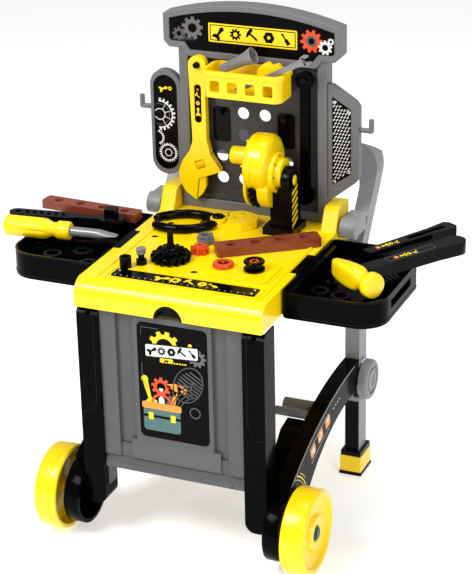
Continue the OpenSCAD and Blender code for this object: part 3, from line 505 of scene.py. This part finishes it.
def label_print():
    """Front label: gears, a plate with tool marks, vents, and a toolbox of the builder's own design."""
    lo, hi = span("panel_decal")
    y = lo[1]
    x0, x1, z0, z1 = lo[0], hi[0], lo[2], hi[2]
    names = ["p_yellow", "ink", "p_grey", "p_orange", "p_white", "p_line", "p_amber", "p_teal"]
    p = Piece("front_label_print", "front_panel", names, "label")
    one, two, three = (y - 0.2, y), (y - 0.35, y - 0.1), (y - 0.5, y - 0.25)
    # line art behind: vent, arcs of big gears
    cx, cz = x0 + 80, z1 - 92
    p.plate([(cx + 24 * math.cos(t) + 6 * math.sin(t), cz + 30 * math.sin(t)) for t in
             [2 * math.pi * i / 40 for i in range(40)]], *one, mat=5,
            holes=[[(cx + 22.4 * math.cos(t) + 5.6 * math.sin(t), cz + 28.4 * math.sin(t)) for t in
                    [2 * math.pi * i / 40 for i in range(40)]]])
    for i in range(8):
        k = -0.8 + 1.6 * i / 7
        half = 17 * math.sqrt(max(0.05, 1 - k * k))
        mx, mz = cx + 3 + k * 13, cz + k * 20
        p.plate(stroke([(mx - half, mz + half * 0.62), (mx + half, mz - half * 0.62)], 2.1), *one, mat=5)
    for r in (34, 40, 47):
        p.plate(stroke(arc(x1 - 14, z0 + 44, r, 100, 232 - r, 24), 1.3), *one, mat=5)
    p.plate(gear_band(x1 - 14, z0 + 44, 58, 5, 1.6, 96, 180, 12), *one, mat=5)
    p.plate(circle(x1 - 22, z0 + 52, 9, 30), *one, mat=5, holes=[circle(x1 - 22, z0 + 52, 7.2, 30)])
    p.plate(stroke([(x0 + 6, z1 - 66), (x0 + 6, z1 - 96), (x0 + 16, z1 - 108)], 1), *one, mat=5)
    p.plate(stroke([(x0 + 6, z1 - 20), (x0 + 6, z1 - 8), (x0 + 34, z1 - 8)], 1), *one, mat=5)
    # gears and the plate of tool marks
    gx, gz = x0 + 44, z1 - 36
    p.plate(gear(gx, gz, 26, 5.5, 10, 6), *one, mat=0, holes=[circle(gx, gz, 14)])
    p.plate(gear(x1 - 16, z1 - 46, 14, 3.4, 10), *one, mat=2, holes=[circle(x1 - 16, z1 - 46, 6)])
    p.plate(circle(x1 - 27, z1 - 27, 3, 20), *one, mat=0)

    def tilt(pts):
        return [(x, z + (x - gx) * 0.06) for x, z in pts]

    pz = z1 - 42
    p.plate(tilt(rounded(x0 + 11, x1 - 13, pz - 12, pz + 11, 3)), *two, mat=1)
    p.plate(tilt(rounded(x0 + 13, x1 - 15, pz - 10, pz + 9, 2.2)), *three, mat=4)
    top = y - 0.65, y - 0.4
    p.plate(tilt(spanner(x0 + 24, pz - 0.5, 14, 4.6, -60)), *top, mat=1)
    p.plate(tilt(gear(x0 + 39, pz - 0.5, 7, 2, 9)), *top, mat=1,
            holes=[tilt(circle(x0 + 39, pz - 0.5, 2.7, 20))])
    p.plate(tilt(circle(x0 + 55, pz - 0.5, 7, 6)), *top, mat=1,
            holes=[tilt(circle(x0 + 55, pz - 0.5, 2.1, 20))])
    p.plate(tilt(hammer_mark(x0 + 72, pz - 0.5, 15, 54)), *top, mat=1)
    p.plate(tilt(driver_mark(x0 + 88, pz - 0.5, 15, 40)), *top, mat=1)
    for i in range(8):
        dot = moved(rounded(-1.5, 1.5, -1, 1, 0.4, 2), gx + 2 + i * 4.4, pz - 18 + i * 0.2, 0)
        p.plate(dot, *three, mat=0)
    # toolbox with tools standing in it
    bx, bz = x0 + 34, z0 + 12
    p.plate(rounded(bx - 28, bx + 32, bz, bz + 38, 5), *two, mat=7)
    p.plate(rounded(bx - 30, bx + 34, bz + 36, bz + 47, 3.5), *three, mat=6)
    p.plate(rounded(bx - 28, bx + 32, bz + 22, bz + 26, 1), *three, mat=1)
    for k in (-16, 20):
        p.plate(rounded(bx + k - 4, bx + k + 4, bz + 18, bz + 30, 1.5), *top, mat=0)
    p.plate(stroke(arc(bx + 2, bz + 46, 15, 0, 180, 20), 4), *two, mat=3)
    p.plate(moved(spanner(0, 0, 46, 9), bx - 20, bz + 66, 14), *one, mat=0)
    p.plate(hammer_mark(bx + 24, bz + 63, 40, -12), *one, mat=6)
    p.plate(gear(bx + 2, bz + 74, 16, 4, 9, 10), *one, mat=3, holes=[circle(bx + 2, bz + 74, 7)])
    p.plate(driver_mark(bx + 2, bz + 57, 30, 0), y - 0.1, y, mat=4)
    p.done(0)


def ruler_print():
    lo, hi = span("ruler_strip")
    x0, x1, y0, y1, z = lo[0], hi[0], lo[1], hi[1], hi[2]
    mid = (y0 + y1) / 2
    at = z - 0.02, z + 0.2
    p = Piece("ruler_print", "table", ["p_yellow", "p_orange", "p_white", "steel", "ink"], "label")
    p.plate(gear(-6, mid, 9.5, 2.6, 9), *at, "XY", holes=[circle(-6, mid, 3.4, 20)])
    p.plate(spanner(-26, mid, 20, 6.5, -70), *at, "XY")
    p.plate(hammer_mark(17, mid, 18, 54), *at, "XY")
    p.plate(circle(37, mid, 7.5, 6), *at, "XY", holes=[circle(37, mid, 2.2, 20)])
    p.plate(driver_mark(54, mid, 18, 60), *at, "XY")
    for i in range(22):
        x = x0 + 6 + i * 9.8
        h = 5 if i % 5 == 0 else 3
        p.plate(rounded(x - 0.35, x + 0.35, y0 + 0.9, y0 + 0.9 + h, 0.2, 2), *at, "XY", 2)
    for x, y in ((x1 - 6, y1 - 6), (x1 - 6, y0 + 6), (x0 + 6, y1 - 6)):
        p.lathe([(0, 0), (2.6, 0), (2.5, 0.6), (1.6, 1.1), (0, 1.2)], (0, 0, 1), (x, y, z), 3, 20)
    p.done(0)


# ---------------------------------------------------------------- worktop details
WORKTOP_HOLES = ((-108, -20), (-108, 40), (6, -128), (24, -52))


def worktop_lines():
    z = span("ruler_strip")[0][2]
    p = Piece("worktop_ridges", "table", ["yellow"], "yellow_plastic")
    for outer, width, high in ((rounded(-126, 137, -196, 84, 12), 5, 1.8),
                               (rounded(-113, 130, -188, -149, 5), 3, 1.3),
                               (rounded(-62, 22, -34, 12, 7), 3, 1.2),
                               (rounded(34, 126, -141, -63, 9), 3, 1.0)):
        x = [u for u, v in outer]
        y = [v for u, v in outer]
        inner = rounded(min(x) + width, max(x) - width, min(y) + width, max(y) - width, 4)
        p.plate(outer, z - 0.5, z + high, "XY", holes=[inner])
    for x, y in WORKTOP_HOLES:
        p.lathe([(5.2, -0.4), (8, -0.4), (8, 0.7), (7.4, 1.1), (5.8, 1.1), (5.2, 0.6)], (0, 0, 1),
                (x, y, z), n=32)
    p.done(0.9, 3)
    p = Piece("worktop_holes", "table", ["ink"], "black_plastic")
    for x, y in WORKTOP_HOLES:
        p.plate(circle(x, y, 5.2, 28), z - 0.3, z + 0.12, "XY")
    p.done(0)


def screws():
    for name, x, y, mats in (("red_screw", 40, -98, ["orange", "black", "orange"]),
                             ("black_screw", 89, -96, ["black", "black", "orange"])):
        lo, hi = span(name)
        z0, z1 = lo[2], hi[2]
        shelf = z0 + 17.2
        p = Piece(name + "_head", name, mats, mats[0] + "_plastic", [name])
        if name == "red_screw":
            prof = [(0, z0), (5.9, z0), (5.9, shelf), (14.6, shelf), (16, shelf + 1.2), (16, shelf + 4),
                    (15, z1 - 0.8), (13, z1), (8.6, z1), (8, z1 - 0.6), (8, z1 - 2.6), (0, z1 - 2.6)]
        else:
            prof = [(0, z0), (5.9, z0), (5.9, shelf), (14.6, shelf), (16, shelf + 1), (16, shelf + 3.4),
                    (13, shelf + 4.4), (10.8, shelf + 6), (10.8, z1 - 5.5), (14.6, z1 - 4.5), (16, z1 - 3.2),
                    (16, z1 - 1.4), (14.8, z1), (11, z1), (10.3, z1 - 0.8), (10.3, z1 - 2), (0, z1 - 2)]
        p.lathe([(r, h - z0) for r, h in prof], (0, 0, 1), (x, y, z0), 0, 64)
        floor_z = z1 - 2.6 if name == "red_screw" else z1 - 2
        if name == "red_screw":
            p.lathe([(0, 0), (7.8, 0), (7.8, 1.4), (6.6, 2.2), (0, 2.2)], (0, 0, 1), (x, y, floor_z), 1, 40)
            p.plate(moved(rounded(-5, 5, -1.2, 1.2, 0.8, 3), x, y, 20), floor_z + 2, floor_z + 2.9, "XY", 2)
            p.plate(moved(rounded(-1.2, 1.2, -5, 5, 0.8, 3), x, y, 20), floor_z + 2, floor_z + 2.8, "XY", 2)
        else:
            p.plate(circle(x, y, 7.2, 40), floor_z - 0.2, floor_z + 1, "XY", 2)
            p.plate(gear(x, y, 5, 2.4, 4, 10, 0.5), floor_z + 0.8, floor_z + 1.5, "XY", 1)
        p.done(0.3)


def gears_on_top():
    z = span("gear_cluster")[0][2]
    cx, cy = -46, -96       # centre of the gear cluster
    p = Piece("gear_cluster_teeth", "table", ["black", "silver"], "black_plastic", ["gear_cluster"])

    def twisted(r, depth, teeth, z0, z1, twist, dish):
        rings = []
        for i in range(7):
            k = i / 6
            shrink = dish * (abs(k - 0.5) * 2) ** 3
            rings.append([(u, v, z0 + (z1 - z0) * k) for u, v in
                          gear(cx, cy, r - shrink, depth - shrink * 0.5, teeth, twist * k, 0.55)])
        p.loft(rings)

    twisted(31, 7, 15, z, z + 12, 14, 2)
    twisted(22, 5.5, 12, z + 12, z + 19, -12, 1.5)
    p.lathe([(0, 0), (13, 0), (13, 2), (11, 3.5), (6, 4), (6, 8), (5, 9), (4.4, 26), (3, 27), (0, 27)],
            (0, 0, 1), (cx, cy, z + 18), n=40)
    for k in range(5):
        p.lathe([(4, 0), (5.3, 0.9), (4, 1.8)], (0, 0, 1), (cx, cy, z + 30 + k * 2.6), n=32)
    bx, by = -81, -125      # centre of the bolt beside it
    p.plate([(bx + u, by + v) for u, v in circle(0, 0, 9, 6)], z, z + 7.8, "XY")
    p.lathe([(0, 0), (4.8, 0), (4.8, 12), (0, 12)], (0, 0, 1), (bx, by, z + 7), n=28)
    p.plate([(bx + u, by + v) for u, v in circle(0, 0, 8, 6)], z + 17, z + 26, "XY", 1)
    p.done(0.7)

    lo, hi = span("red_gear")
    star = (-16, -56)
    p = Piece("red_gear_star", "table", ["orange"], "orange_plastic", ["red_gear"])
    p.plate(gear(*star, 14.2, 4.6, 8, 10, 0.42), lo[2], hi[2] - 1, "XY", holes=[circle(*star, 4.2, 28)])
    p.lathe([(4.2, 0), (7.4, 0), (7.4, 2), (6.8, 2.8), (4.2, 2.8)], (0, 0, 1), (*star, hi[2] - 1.6), n=32)
    p.done(0.8)

    lo, hi = span("castle_nut")
    nut = (-24, -16)
    p = Piece("castle_nut_crown", "table", ["grey"], "grey_plastic", ["castle_nut"])
    p.plate(circle(*nut, 15, 6), lo[2], lo[2] + 8, "XY", holes=[circle(*nut, 7, 28)])
    p.plate(gear(*nut, 12.5, 3, 6, 0, 0.6), lo[2] + 7.5, hi[2], "XY", holes=[circle(*nut, 7.5, 28)])
    p.done(0.8)


# ---------------------------------------------------------------- hand tools
def pliers():
    z = span("pliers_lower")[0][2]
    at = Matrix.Translation((-34, 56, 0)) @ Matrix.Rotation(math.radians(20), 4, "Z")
    for s, body, node in ((1, "pliers", "pliers_lower"), (-1, "pliers_jaw", "pliers_upper")):
        p = Piece("pliers_half_" + body, body, ["black", "yellow", "satin"], "yellow_plastic", [node])
        p.at = at
        grip = [(u, v * s, z + 7.1) for u, v in arc(-53, -31, 63.5, 40, 137, 26)]
        radii = [7.1 * (0.62 + 0.38 * min(1, (i + 0.6) / 3, (26 - i + 0.6) / 2)) for i in range(27)]
        p.tube(grip, radii, 0, 18, 0.94)
        for k in (8, 10, 12, 14, 16):
            a, b = Vector(grip[k]), Vector(grip[k + 1])
            p.tube([a, a + (b - a) * 0.35], 7.15, 2, 18, 0.95)
        half = (z, z + 6.8) if s > 0 else (z + 7.2, z + 14)
        p.plate([(-12, 13 * s), (-27, 17 * s), (-25, 27 * s), (-8, 14 * s)], *half, "XY", 0)
        p.plate(circle(0, 0, 12.5, 44), *half, "XY", 1)
        p.plate([(0, -1.2 * s), (16, -1.2 * s), (16, -20 * s), (6, -15 * s), (-4, -10 * s)], *half, "XY", 1)
        teeth = [(62 - i * 3.2 / 2, -(1.2 + (i % 2) * 1.5) * s) for i in range(14)]
        jaw = teeth + [(38, -1.2 * s)] + [(30 + 8 * math.cos(t), -(1.2 + 6 * math.sin(t)) * s) for t in
                                          [math.pi * i / 8 for i in range(1, 9)]]
        jaw += [(15, -1.2 * s), (14, -19 * s), (24, -26 * s), (36, -28 * s), (48, -22 * s), (60, -12 * s)]
        holes = [circle(41, 17, 5, 28)] if s < 0 else []
        p.plate(jaw, z, z + 14, "XY", 1, holes)
        if s < 0:
            rivet = [(4.2, 0), (9.4, 0), (9.4, 2.6), (8.4, 4), (5.4, 4), (4.2, 3.2)]
            p.lathe(rivet, (0, 0, 1), (0, 0, z + 13.6), 0, 40)
        p.done(0.9, 3)


def wrench_details():
    y = span("wrench_body")[0][1]
    p = Piece("wrench_label", "wrench", ["ink", "p_yellow", "p_orange", "satin"], "label")
    p.plate(rounded(-90.4, -79.6, 582, 644, 5.2), y + 0.4, y + 1.2, mat=0)
    p.plate(spanner(-85, 600, 12, 3.6), y + 0.2, y + 0.5, mat=1)
    p.plate(gear(-85, 614, 3.6, 1.1, 8), y + 0.2, y + 0.5, mat=1, holes=[circle(-85, 614, 1.3, 12)])
    p.plate(hammer_mark(-85, 626, 9, 50), y + 0.2, y + 0.5, mat=1)
    p.plate(circle(-85, 636, 2.2, 16), y + 0.2, y + 0.5, mat=2)
    p.done(0)
    r, n, length = 6.8, 7, 14.1
    slide = Vector((0.9285, 0, 0.3714))     # the way the jaw moves
    start = Vector(centre("wrench_worm")) - slide * length / 2
    p = Piece("wrench_worm_thread", "wrench_worm", ["yellow"], "dark_plastic", ["wrench_worm"])
    pitch = length / n
    prof = [(0, 0)]
    for i in range(n):
        prof += [(r - 1.6, i * pitch), (r, (i + 0.35) * pitch), (r, (i + 0.65) * pitch),
                 (r - 1.6, (i + 1) * pitch)]
    p.lathe(prof + [(0, length)], slide, start, n=40)
    p.done(0)


HAMMER_AT, HAMMER_TURN = (244, -94), 58     # where the hammer lies, and its turn in degrees
HANDLE_HALF = 9.8                           # half the height of its handle


def hammer():
    z = span("hammer_handle")[0][2] + HANDLE_HALF
    p = Piece("hammer_head_moulding", "hammer", ["yellow"], "yellow_plastic", ["hammer_head"])
    p.at = Matrix.Translation((*HAMMER_AT, z)) @ Matrix.Rotation(math.radians(HAMMER_TURN - 90), 4, "Z")
    rings = []
    for x, hw, hh, e in ((-50, 2.5, 10, 3), (-48, 5.5, 12, 4), (-42, 8, 13.2, 5), (-32, 10, 14.4, 5),
                         (-20, 12, 15.8, 5), (-6, 13.4, 16.6, 5), (8, 13.6, 16.6, 5), (15, 13, 15.4, 4),
                         (19, 12.4, 13.2, 2.6),
                         (23, 12.2, 12.4, 2), (27, 12.4, 12.4, 2), (30, 14.5, 14.5, 2), (33, 17.6, 17.6, 2),
                         (36, 18.9, 18.9, 2), (44, 19, 19, 2), (46.4, 18, 18, 2), (47.6, 15.5, 15.5, 2),
                         (48.4, 9, 9, 2), (48.6, 1, 1, 2)):
        rings.append([(x, 1.6 * max(0, -x - 16) / 34 + u, v) for u, v in squircle(hw, hh, e)])
    p.loft(rings)
    p.done(0)


def tool_labels():
    """Small generic marks on the two long black handles, and a thin frame on the hammer's."""
    z = span("hammer_handle")[0][2] + HANDLE_HALF
    p = Piece("hammer_handle_label", "hammer", ["p_orange", "p_yellow", "p_line", "satin"], "label")
    p.at = Matrix.Translation((*HAMMER_AT, 0)) @ Matrix.Rotation(math.radians(HAMMER_TURN), 4, "Z")
    top = z + HANDLE_HALF
    p.plate(rounded(60, 150, -7.5, 7.5, 5), top - 0.2, top + 0.35, "XY", 2,
            [rounded(61.2, 148.8, -6.3, 6.3, 4)])
    marks(p, 78, 0, top)
    p.done(0)
    top = span("long_tool")[1][2]
    p = Piece("long_tool_label", "long_tool", ["p_orange", "p_yellow", "p_line", "satin"], "label")
    p.at = Matrix.Translation((238, -22, 0)) @ Matrix.Rotation(math.radians(60), 4, "Z")
    marks(p, 22, 0, top)
    p.done(0)


def marks(p, x, y, z):
    """A short row of generic signs: dot, spanner, gear, hammer."""
    at = z - 0.05, z + 0.3
    p.plate(circle(x, y, 4.2, 24), *at, "XY", 0)
    p.plate(gear(x, y, 2.6, 0.8, 7), z + 0.2, z + 0.4, "XY", 1)
    p.plate(spanner(x + 13, y, 12, 3.8, 90), *at, "XY", 1)
    p.plate(gear(x + 25, y, 4, 1.2, 8), *at, "XY", 1, [circle(x + 25, y, 1.5, 12)])
    p.plate(hammer_mark(x + 37, y, 10, 140), *at, "XY", 1)


def screwdriver():
    lo, hi = span("screwdriver_handle")
    z = (lo[2] + hi[2]) / 2
    p = Piece("screwdriver_grip", "screwdriver", ["yellow"], "yellow_plastic", ["screwdriver_handle"])
    lies = Matrix.Translation((-334, -84, z)) @ Matrix.Rotation(math.radians(5), 4, "Z") \
        @ Matrix.Rotation(math.radians(90), 4, "Y")
    p.at = lies
    outline = [(2, 12.5), (3, 14.6), (5, 15.8), (8, 16), (62, 16), (70, 15.6), (76, 13), (81, 10.9),
               (86, 11.4), (89, 13.6), (91, 14.4), (106, 14.4), (108.5, 13.6), (110, 12)]
    n = 96
    rings = []
    for h, r in outline:
        depth = 2.4 * max(0.0, min(1, (h - 5) / 6, (72 - h) / 8))
        rings.append([((r - depth * max(0, math.cos(8 * t)) ** 2) * math.cos(t),
                       (r - depth * max(0, math.cos(8 * t)) ** 2) * math.sin(t), h) for t in
                      [2 * math.pi * i / n for i in range(n)]])
    p.loft(rings)
    p.done(0.5)
    p = Piece("screwdriver_shank", "screwdriver", ["silver"], "silver_plastic", ["screwdriver_blade"])
    p.at = lies
    rings = []
    for h, a, b in ((108, 7.4, 7.4), (150, 7.4, 7.4), (158, 7.6, 7.2), (166, 8.6, 5), (174, 8.8, 3),
                    (182, 7, 1.6), (186, 5.5, 1)):
        rings.append([(b * math.cos(t), a * math.sin(t), h)
                      for t in [2 * math.pi * i / 32 for i in range(32)]])
    p.loft(rings)
    p.done(0.3)


def saw():
    """Round guard with ribs, closed over the blade's top, the toothed blade, motor and striped grip."""
    y, z = 72, 542          # centre of the guard
    low = 508               # height of the blade's centre
    p = Piece("saw_guard", "saw", ["yellow", "satin", "black", "dark"], "yellow_plastic", ["saw_body"])
    x0 = 16                 # the guard's left face
    dome = [(0, 0), (30, 0), (38, 1.2), (43, 4), (45.5, 8), (46, 12), (46, 14.5), (44.8, 15.5),
            (44.8, 17.5), (46, 18.5), (46, 30), (45.4, 34), (43, 38), (39, 40.6), (33, 42), (0, 42)]
    p.lathe(dome, (1, 0, 0), (x0, y, z), n=96)
    for a, b in ((16, 22), (38, 58)):
        w = b - a
        p.lathe([(0, 0), (33, 0), (35.2, 1), (36, 3), (36, w - 3), (35.2, w - 1), (33, w), (0, w)],
                (1, 0, 0), (a, y, low), n=72)
    p.lathe([(0, 0), (11, 0), (13.2, 1), (14, 3), (14, 26), (15.4, 27.5), (15.4, 31), (0, 31)], (1, 0, 0),
            (-15, y, 549), n=48)
    p.lathe([(0, 0), (31, 0), (32, 1.5), (32, 6), (31, 8), (28.6, 9), (24.5, 9), (23, 10.5), (23, 15),
             (22, 17.2), (19.5, 18), (0, 18)], (1, 0, 0), (57, y - 5, 531), n=72)
    for a in range(0, 360, 45):
        t = math.radians(a)
        p.lathe([(0, 0), (1.9, 0), (1.7, 0.9), (0, 1.1)], (1, 0, 0),
                (65.9, y - 5 + 27 * math.cos(t), 531 + 27 * math.sin(t)), 3, 16)
    for k in range(6):
        ang = 108 + 22 * k
        loop = [(y + u, z + v) for u, v in moved(rounded(24, 40, -1.3, 1.3, 1.2, 3), 0, 0, ang)]
        p.plate(loop, x0 - 0.9, x0 + 2, "YZ")
    p.done(0.4)

    lo, hi = span("saw_blade")
    p = Piece("saw_blade_disc", "saw_blade", ["black", "silver"], "black_plastic", ["saw_blade"])
    bx0, bx1 = lo[0], hi[0]
    p.plate([(y + u, low + v) for u, v in gear(0, 0, 38, 4.5, 20, 0, 0.5)], bx0, bx1, "YZ",
            holes=[[(y + u, low + v) for u, v in circle(0, 0, 4.05, 24)]])
    p.done(0.4)

    p = Piece("saw_stripes", "saw", ["p_yellow", "satin", "black", "yellow"], "label")
    for i in range(6):
        z0 = 446 + i * 10.5
        p.plate([(56, z0), (78, z0 + 9), (78, z0 + 14.5), (56, z0 + 5.5)], 89.9, 90.3, "YZ", 0)
    p.lathe([(0, 0), (8, 0), (8, 0.8), (7, 1.4), (0, 1.6)], (1, 0, 0), (90, 66, 522), 3, 32)
    p.done(0)


def rails_print():
    """Painted highlight as a thin white line along the top outer edge of each arched rail, small marks along
    each rail, and three yellow arcs near the wheel.
    """
    mid = (111.3, -385.3)   # centre of the rails' arch, as (y, z)
    face = 176.0            # the rails' outer face
    p = Piece("rail_prints_and_painted_highlight", "rails", ["p_white", "p_yellow"], "label")
    wheel_y, wheel_z = centre("wheel_right")[1:]
    for s in SIDES:
        at = sorted((s * face, s * (face + 0.25)))
        for a in (98, 98.9, 99.8, 100.7):
            c = moved(rounded(-1.1, 1.1, -1.6, 1.6, 0.5, 2), mid[0] + 572 * math.cos(math.radians(a)),
                      mid[1] + 572 * math.sin(math.radians(a)), a)
            p.plate(c, *at, "YZ", 0)
        for r in (552, 578.5):
            p.plate(stroke(arc(*mid, r, 103, 111.5, 20), 0.7), *at, "YZ", 0)
        # painted highlight: a thin white line where the rail's rounded top outer edge would catch the light
        p.plate(stroke(arc(*mid, 590.2, 91, 119, 60), 0.8), *at, "YZ", 0)
        for r, a0, a1, thick in ((78, 30, 66, 2.6), (72.5, 30, 74, 1.2), (83.5, 38, 58, 1.2)):
            p.plate(stroke(arc(wheel_y, wheel_z, r, a0, a1, 16), thick), *at, "YZ", 1)
    p.done(0)
    p = Piece("rail_label_marks", "rails", ["p_white"], "label")
    for s in SIDES:
        at = sorted((s * 176.55, s * 176.8))
        for i, a in enumerate((103.6, 106.95, 110.3)):
            cy = mid[0] + 568 * math.cos(math.radians(a))
            cz = mid[1] + 568 * math.sin(math.radians(a))
            mark = (hammer_mark(cy, cz, 13, 20), spanner(cy, cz, 13, 4, -30), gear(cy, cz, 6, 1.8, 8))[i]
            p.plate(mark, *at, "YZ", 0)
    p.done(0)


def posts_and_panel():
    lo, hi = span("post_right")
    y = lo[1]
    p = Piece("post_trim", "front_panel", ["satin"], "black_plastic")
    for s in SIDES:
        path = [(s * 122.5, hi[2] - 4), (s * 122.5, 240), (s * 134, 219), (s * 149, 219)]
        p.plate(stroke(path, 1.6), y - 0.55, y + 0.3)
    p.done(0.2)
    p = Piece("panel_lines", "front_panel", ["dark"], "grey_plastic")
    for x in (-70, -18, 40, 92):
        p.plate(stroke([(x, 128.6), (x + 5, 136.8)], 1.1), -207.15, -206.8)
    p.done(0)
    # painted shade: black plates over the front of each lower leg stand in for the dark inside of the leg's
    # open channel, each with a thin raised frame
    p = Piece("leg_channel_painted_shade", "rear_frame", ["satin"], "black_plastic")
    for s in SIDES:
        p.plate(rounded(*sorted((s * 152.6, s * 175.4)), 42.3, 131, 1.5), 123.3, 124.2)
        p.plate(rounded(*sorted((s * 158, s * 170)), 54, 118, 3), 123.05, 123.4, holes=[
            rounded(*sorted((s * 159, s * 169)), 55, 117, 2.2)])
    p.done(0.2)


TRAY_EDGE = dict(inner=150, outer=301, front=-146, rear=72)


def tray_outline(t):
    """Outline of a right-hand tray, drawn in by t."""
    e = TRAY_EDGE
    return (arc(e["inner"] + 10, e["front"] + 10, 10 - t, 180, 270, 5)
            + arc(e["outer"] - 42, e["front"] + 42, 42 - t, 270, 360, 14)
            + [(e["outer"] - t, 22 - t * 0.4), (252 - t * 0.4, e["rear"] - t)]
            + arc(e["inner"] + 8, e["rear"] - 8, 8 - t, 90, 180, 5))


def trays():
    """Rolled lip round each tray's rim, and a lower bead."""
    top = 431               # the trays' rim
    for s, name in BOTH:
        lo = span("tray_" + name)[0]
        p = Piece("tray_lip_" + name, "tray_" + name, ["black"], "black_plastic")
        loop = [(s * x, y) for x, y in tray_outline(0)]
        inner = [(s * x, y) for x, y in tray_outline(3.6)]
        p.plate(loop, top - 2.6, top + 0.7, "XY", holes=[inner])
        loop = [(s * x, y) for x, y in tray_outline(-0.7)]
        p.plate(loop, lo[2] + 4, lo[2] + 6, "XY", holes=[[(s * x, y) for x, y in tray_outline(0.4)]])
        p.done(1.2, 3)


def basket_tools():
    """Flared grey tube, yellow handle and grey spanner standing in the basket."""
    p = Piece("basket_toy_tools", "basket", ["silver", "yellow"], "silver_plastic", ["basket_tools"])
    tilt = Matrix.Rotation(math.radians(63), 4, "Y")
    p.at = Matrix.Translation((-38, 92, 677)) @ tilt
    p.lathe([(0, 0), (6, 0), (7, 1), (8.2, 20), (9.8, 44), (13, 57.5), (13.2, 59.4), (12.4, 60),
             (11.4, 59.2), (8.8, 46), (6.5, 32), (0, 30)], (0, 0, 1), (0, 0, 0), 0, 48)
    p.at = Matrix.Translation((-8, 76, 651.2)) @ tilt
    p.plate([(-4, 0), (4, 0), (3.4, 60), (4.6, 116), (-4.6, 116), (-3.4, 60)], -2.6, 2.6, "XZ", 0)
    jaw = [(-4.6, 112), (4.6, 112)] + arc(0, 127, 9, -50, 60, 8)
    jaw += [(3.4, 133), (3.4, 124), (-3.4, 124), (-3.4, 133)]
    p.plate(jaw + arc(0, 127, 9, 120, 230, 8), -3.4, 3.4, "XZ", 0)
    p.at = Matrix.Identity(4)
    grip = [(24, 645), (58, 645), (58, 684), (62, 690), (56, 696), (46, 692), (40, 697), (30, 692), (24, 684)]
    p.plate(grip, 84.5, 95.5, "XZ", 1, [circle(49, 676, 4.5, 20)])
    p.done(0.9, 3)


wheels()
knuckles()
header_print()
wing_prints()
label_print()
ruler_print()
worktop_lines()
screws()
gears_on_top()
pliers()
wrench_details()
hammer()
tool_labels()
screwdriver()
saw()
rails_print()
posts_and_panel()
trays()
basket_tools()

# ---------------------------------------------------------------- stage
AMBIENT = 0.42              # strength of the white world and of the floor's own glow
FOCAL_PX, HEIGHT_PX = 1949, 574     # fitted focal length and the picture's height, in pixels
SENSOR = 36                 # millimetres
AZIMUTH, ELEVATION, ROLL = 23.31, 23.44, -1.24      # of the fitted camera, in degrees
CAMERA_AT = (1.1089, -2.5325, 1.5558)

floor_mesh = bpy.data.meshes.new("floor")
bm = bmesh.new()
bmesh.ops.create_grid(bm, x_segments=2, y_segments=2, size=9)
bm.to_mesh(floor_mesh)
bm.free()
floor = bpy.data.objects.new("floor", floor_mesh)
floor.location.z = -0.0002
bpy.context.scene.collection.objects.link(floor)
fm = bpy.data.materials.new("floor_white")
fm.use_nodes = True
fp = fm.node_tree.nodes["Principled BSDF"]
fp.inputs["Base Color"].default_value = (0.93, 0.93, 0.93, 1)
fp.inputs["Roughness"].default_value = 0.6
fp.inputs["Specular IOR Level"].default_value = 0.2
fp.inputs["Emission Color"].default_value = (1, 1, 1, 1)
fp.inputs["Emission Strength"].default_value = AMBIENT
floor_mesh.materials.append(fm)

scene = bpy.context.scene
scene.view_settings.view_transform = "Standard"
world = bpy.data.worlds.new("studio")
scene.world = world
world.use_nodes = True
world.node_tree.nodes["Background"].inputs["Color"].default_value = (1, 1, 1, 1)
world.node_tree.nodes["Background"].inputs["Strength"].default_value = AMBIENT


def area(name, loc, target, size, power, size_y=None):
    d = bpy.data.lights.new(name, "AREA")
    d.shape = "RECTANGLE"
    d.size = size
    d.size_y = size_y or size
    d.energy = power
    o = bpy.data.objects.new(name, d)
    o.location = loc
    o.rotation_mode = "QUATERNION"
    o.rotation_quaternion = (Vector(target) - Vector(loc)).to_track_quat("-Z", "Y")
    scene.collection.objects.link(o)


area("key", (-0.9, -1.7, 2.3), (0, 0, 0.35), 1.0, 54)
area("fill", (2.0, -1.2, 1.3), (0, 0, 0.4), 1.2, 20)
area("top", (0.2, 0.3, 2.6), (0, 0, 0.4), 1.0, 20)

cam = bpy.data.cameras.new("camera")
cam.sensor_width = SENSOR
cam.lens = FOCAL_PX / HEIGHT_PX * SENSOR
cam.clip_start, cam.clip_end = 0.1, 50
co = bpy.data.objects.new("camera", cam)
a, e, r = math.radians(AZIMUTH), math.radians(ELEVATION), math.radians(ROLL)
back = Vector((math.sin(a) * math.cos(e), -math.cos(a) * math.cos(e), math.sin(e)))
right = Vector((math.cos(a), math.sin(a), 0))
up = back.cross(right)
cx = math.cos(r) * right + math.sin(r) * up
cy = -math.sin(r) * right + math.cos(r) * up
co.matrix_world = Matrix(((cx.x, cy.x, back.x, CAMERA_AT[0]), (cx.y, cy.y, back.y, CAMERA_AT[1]),
                          (cx.z, cy.z, back.z, CAMERA_AT[2]), (0, 0, 0, 1)))
scene.collection.objects.link(co)
scene.camera = co
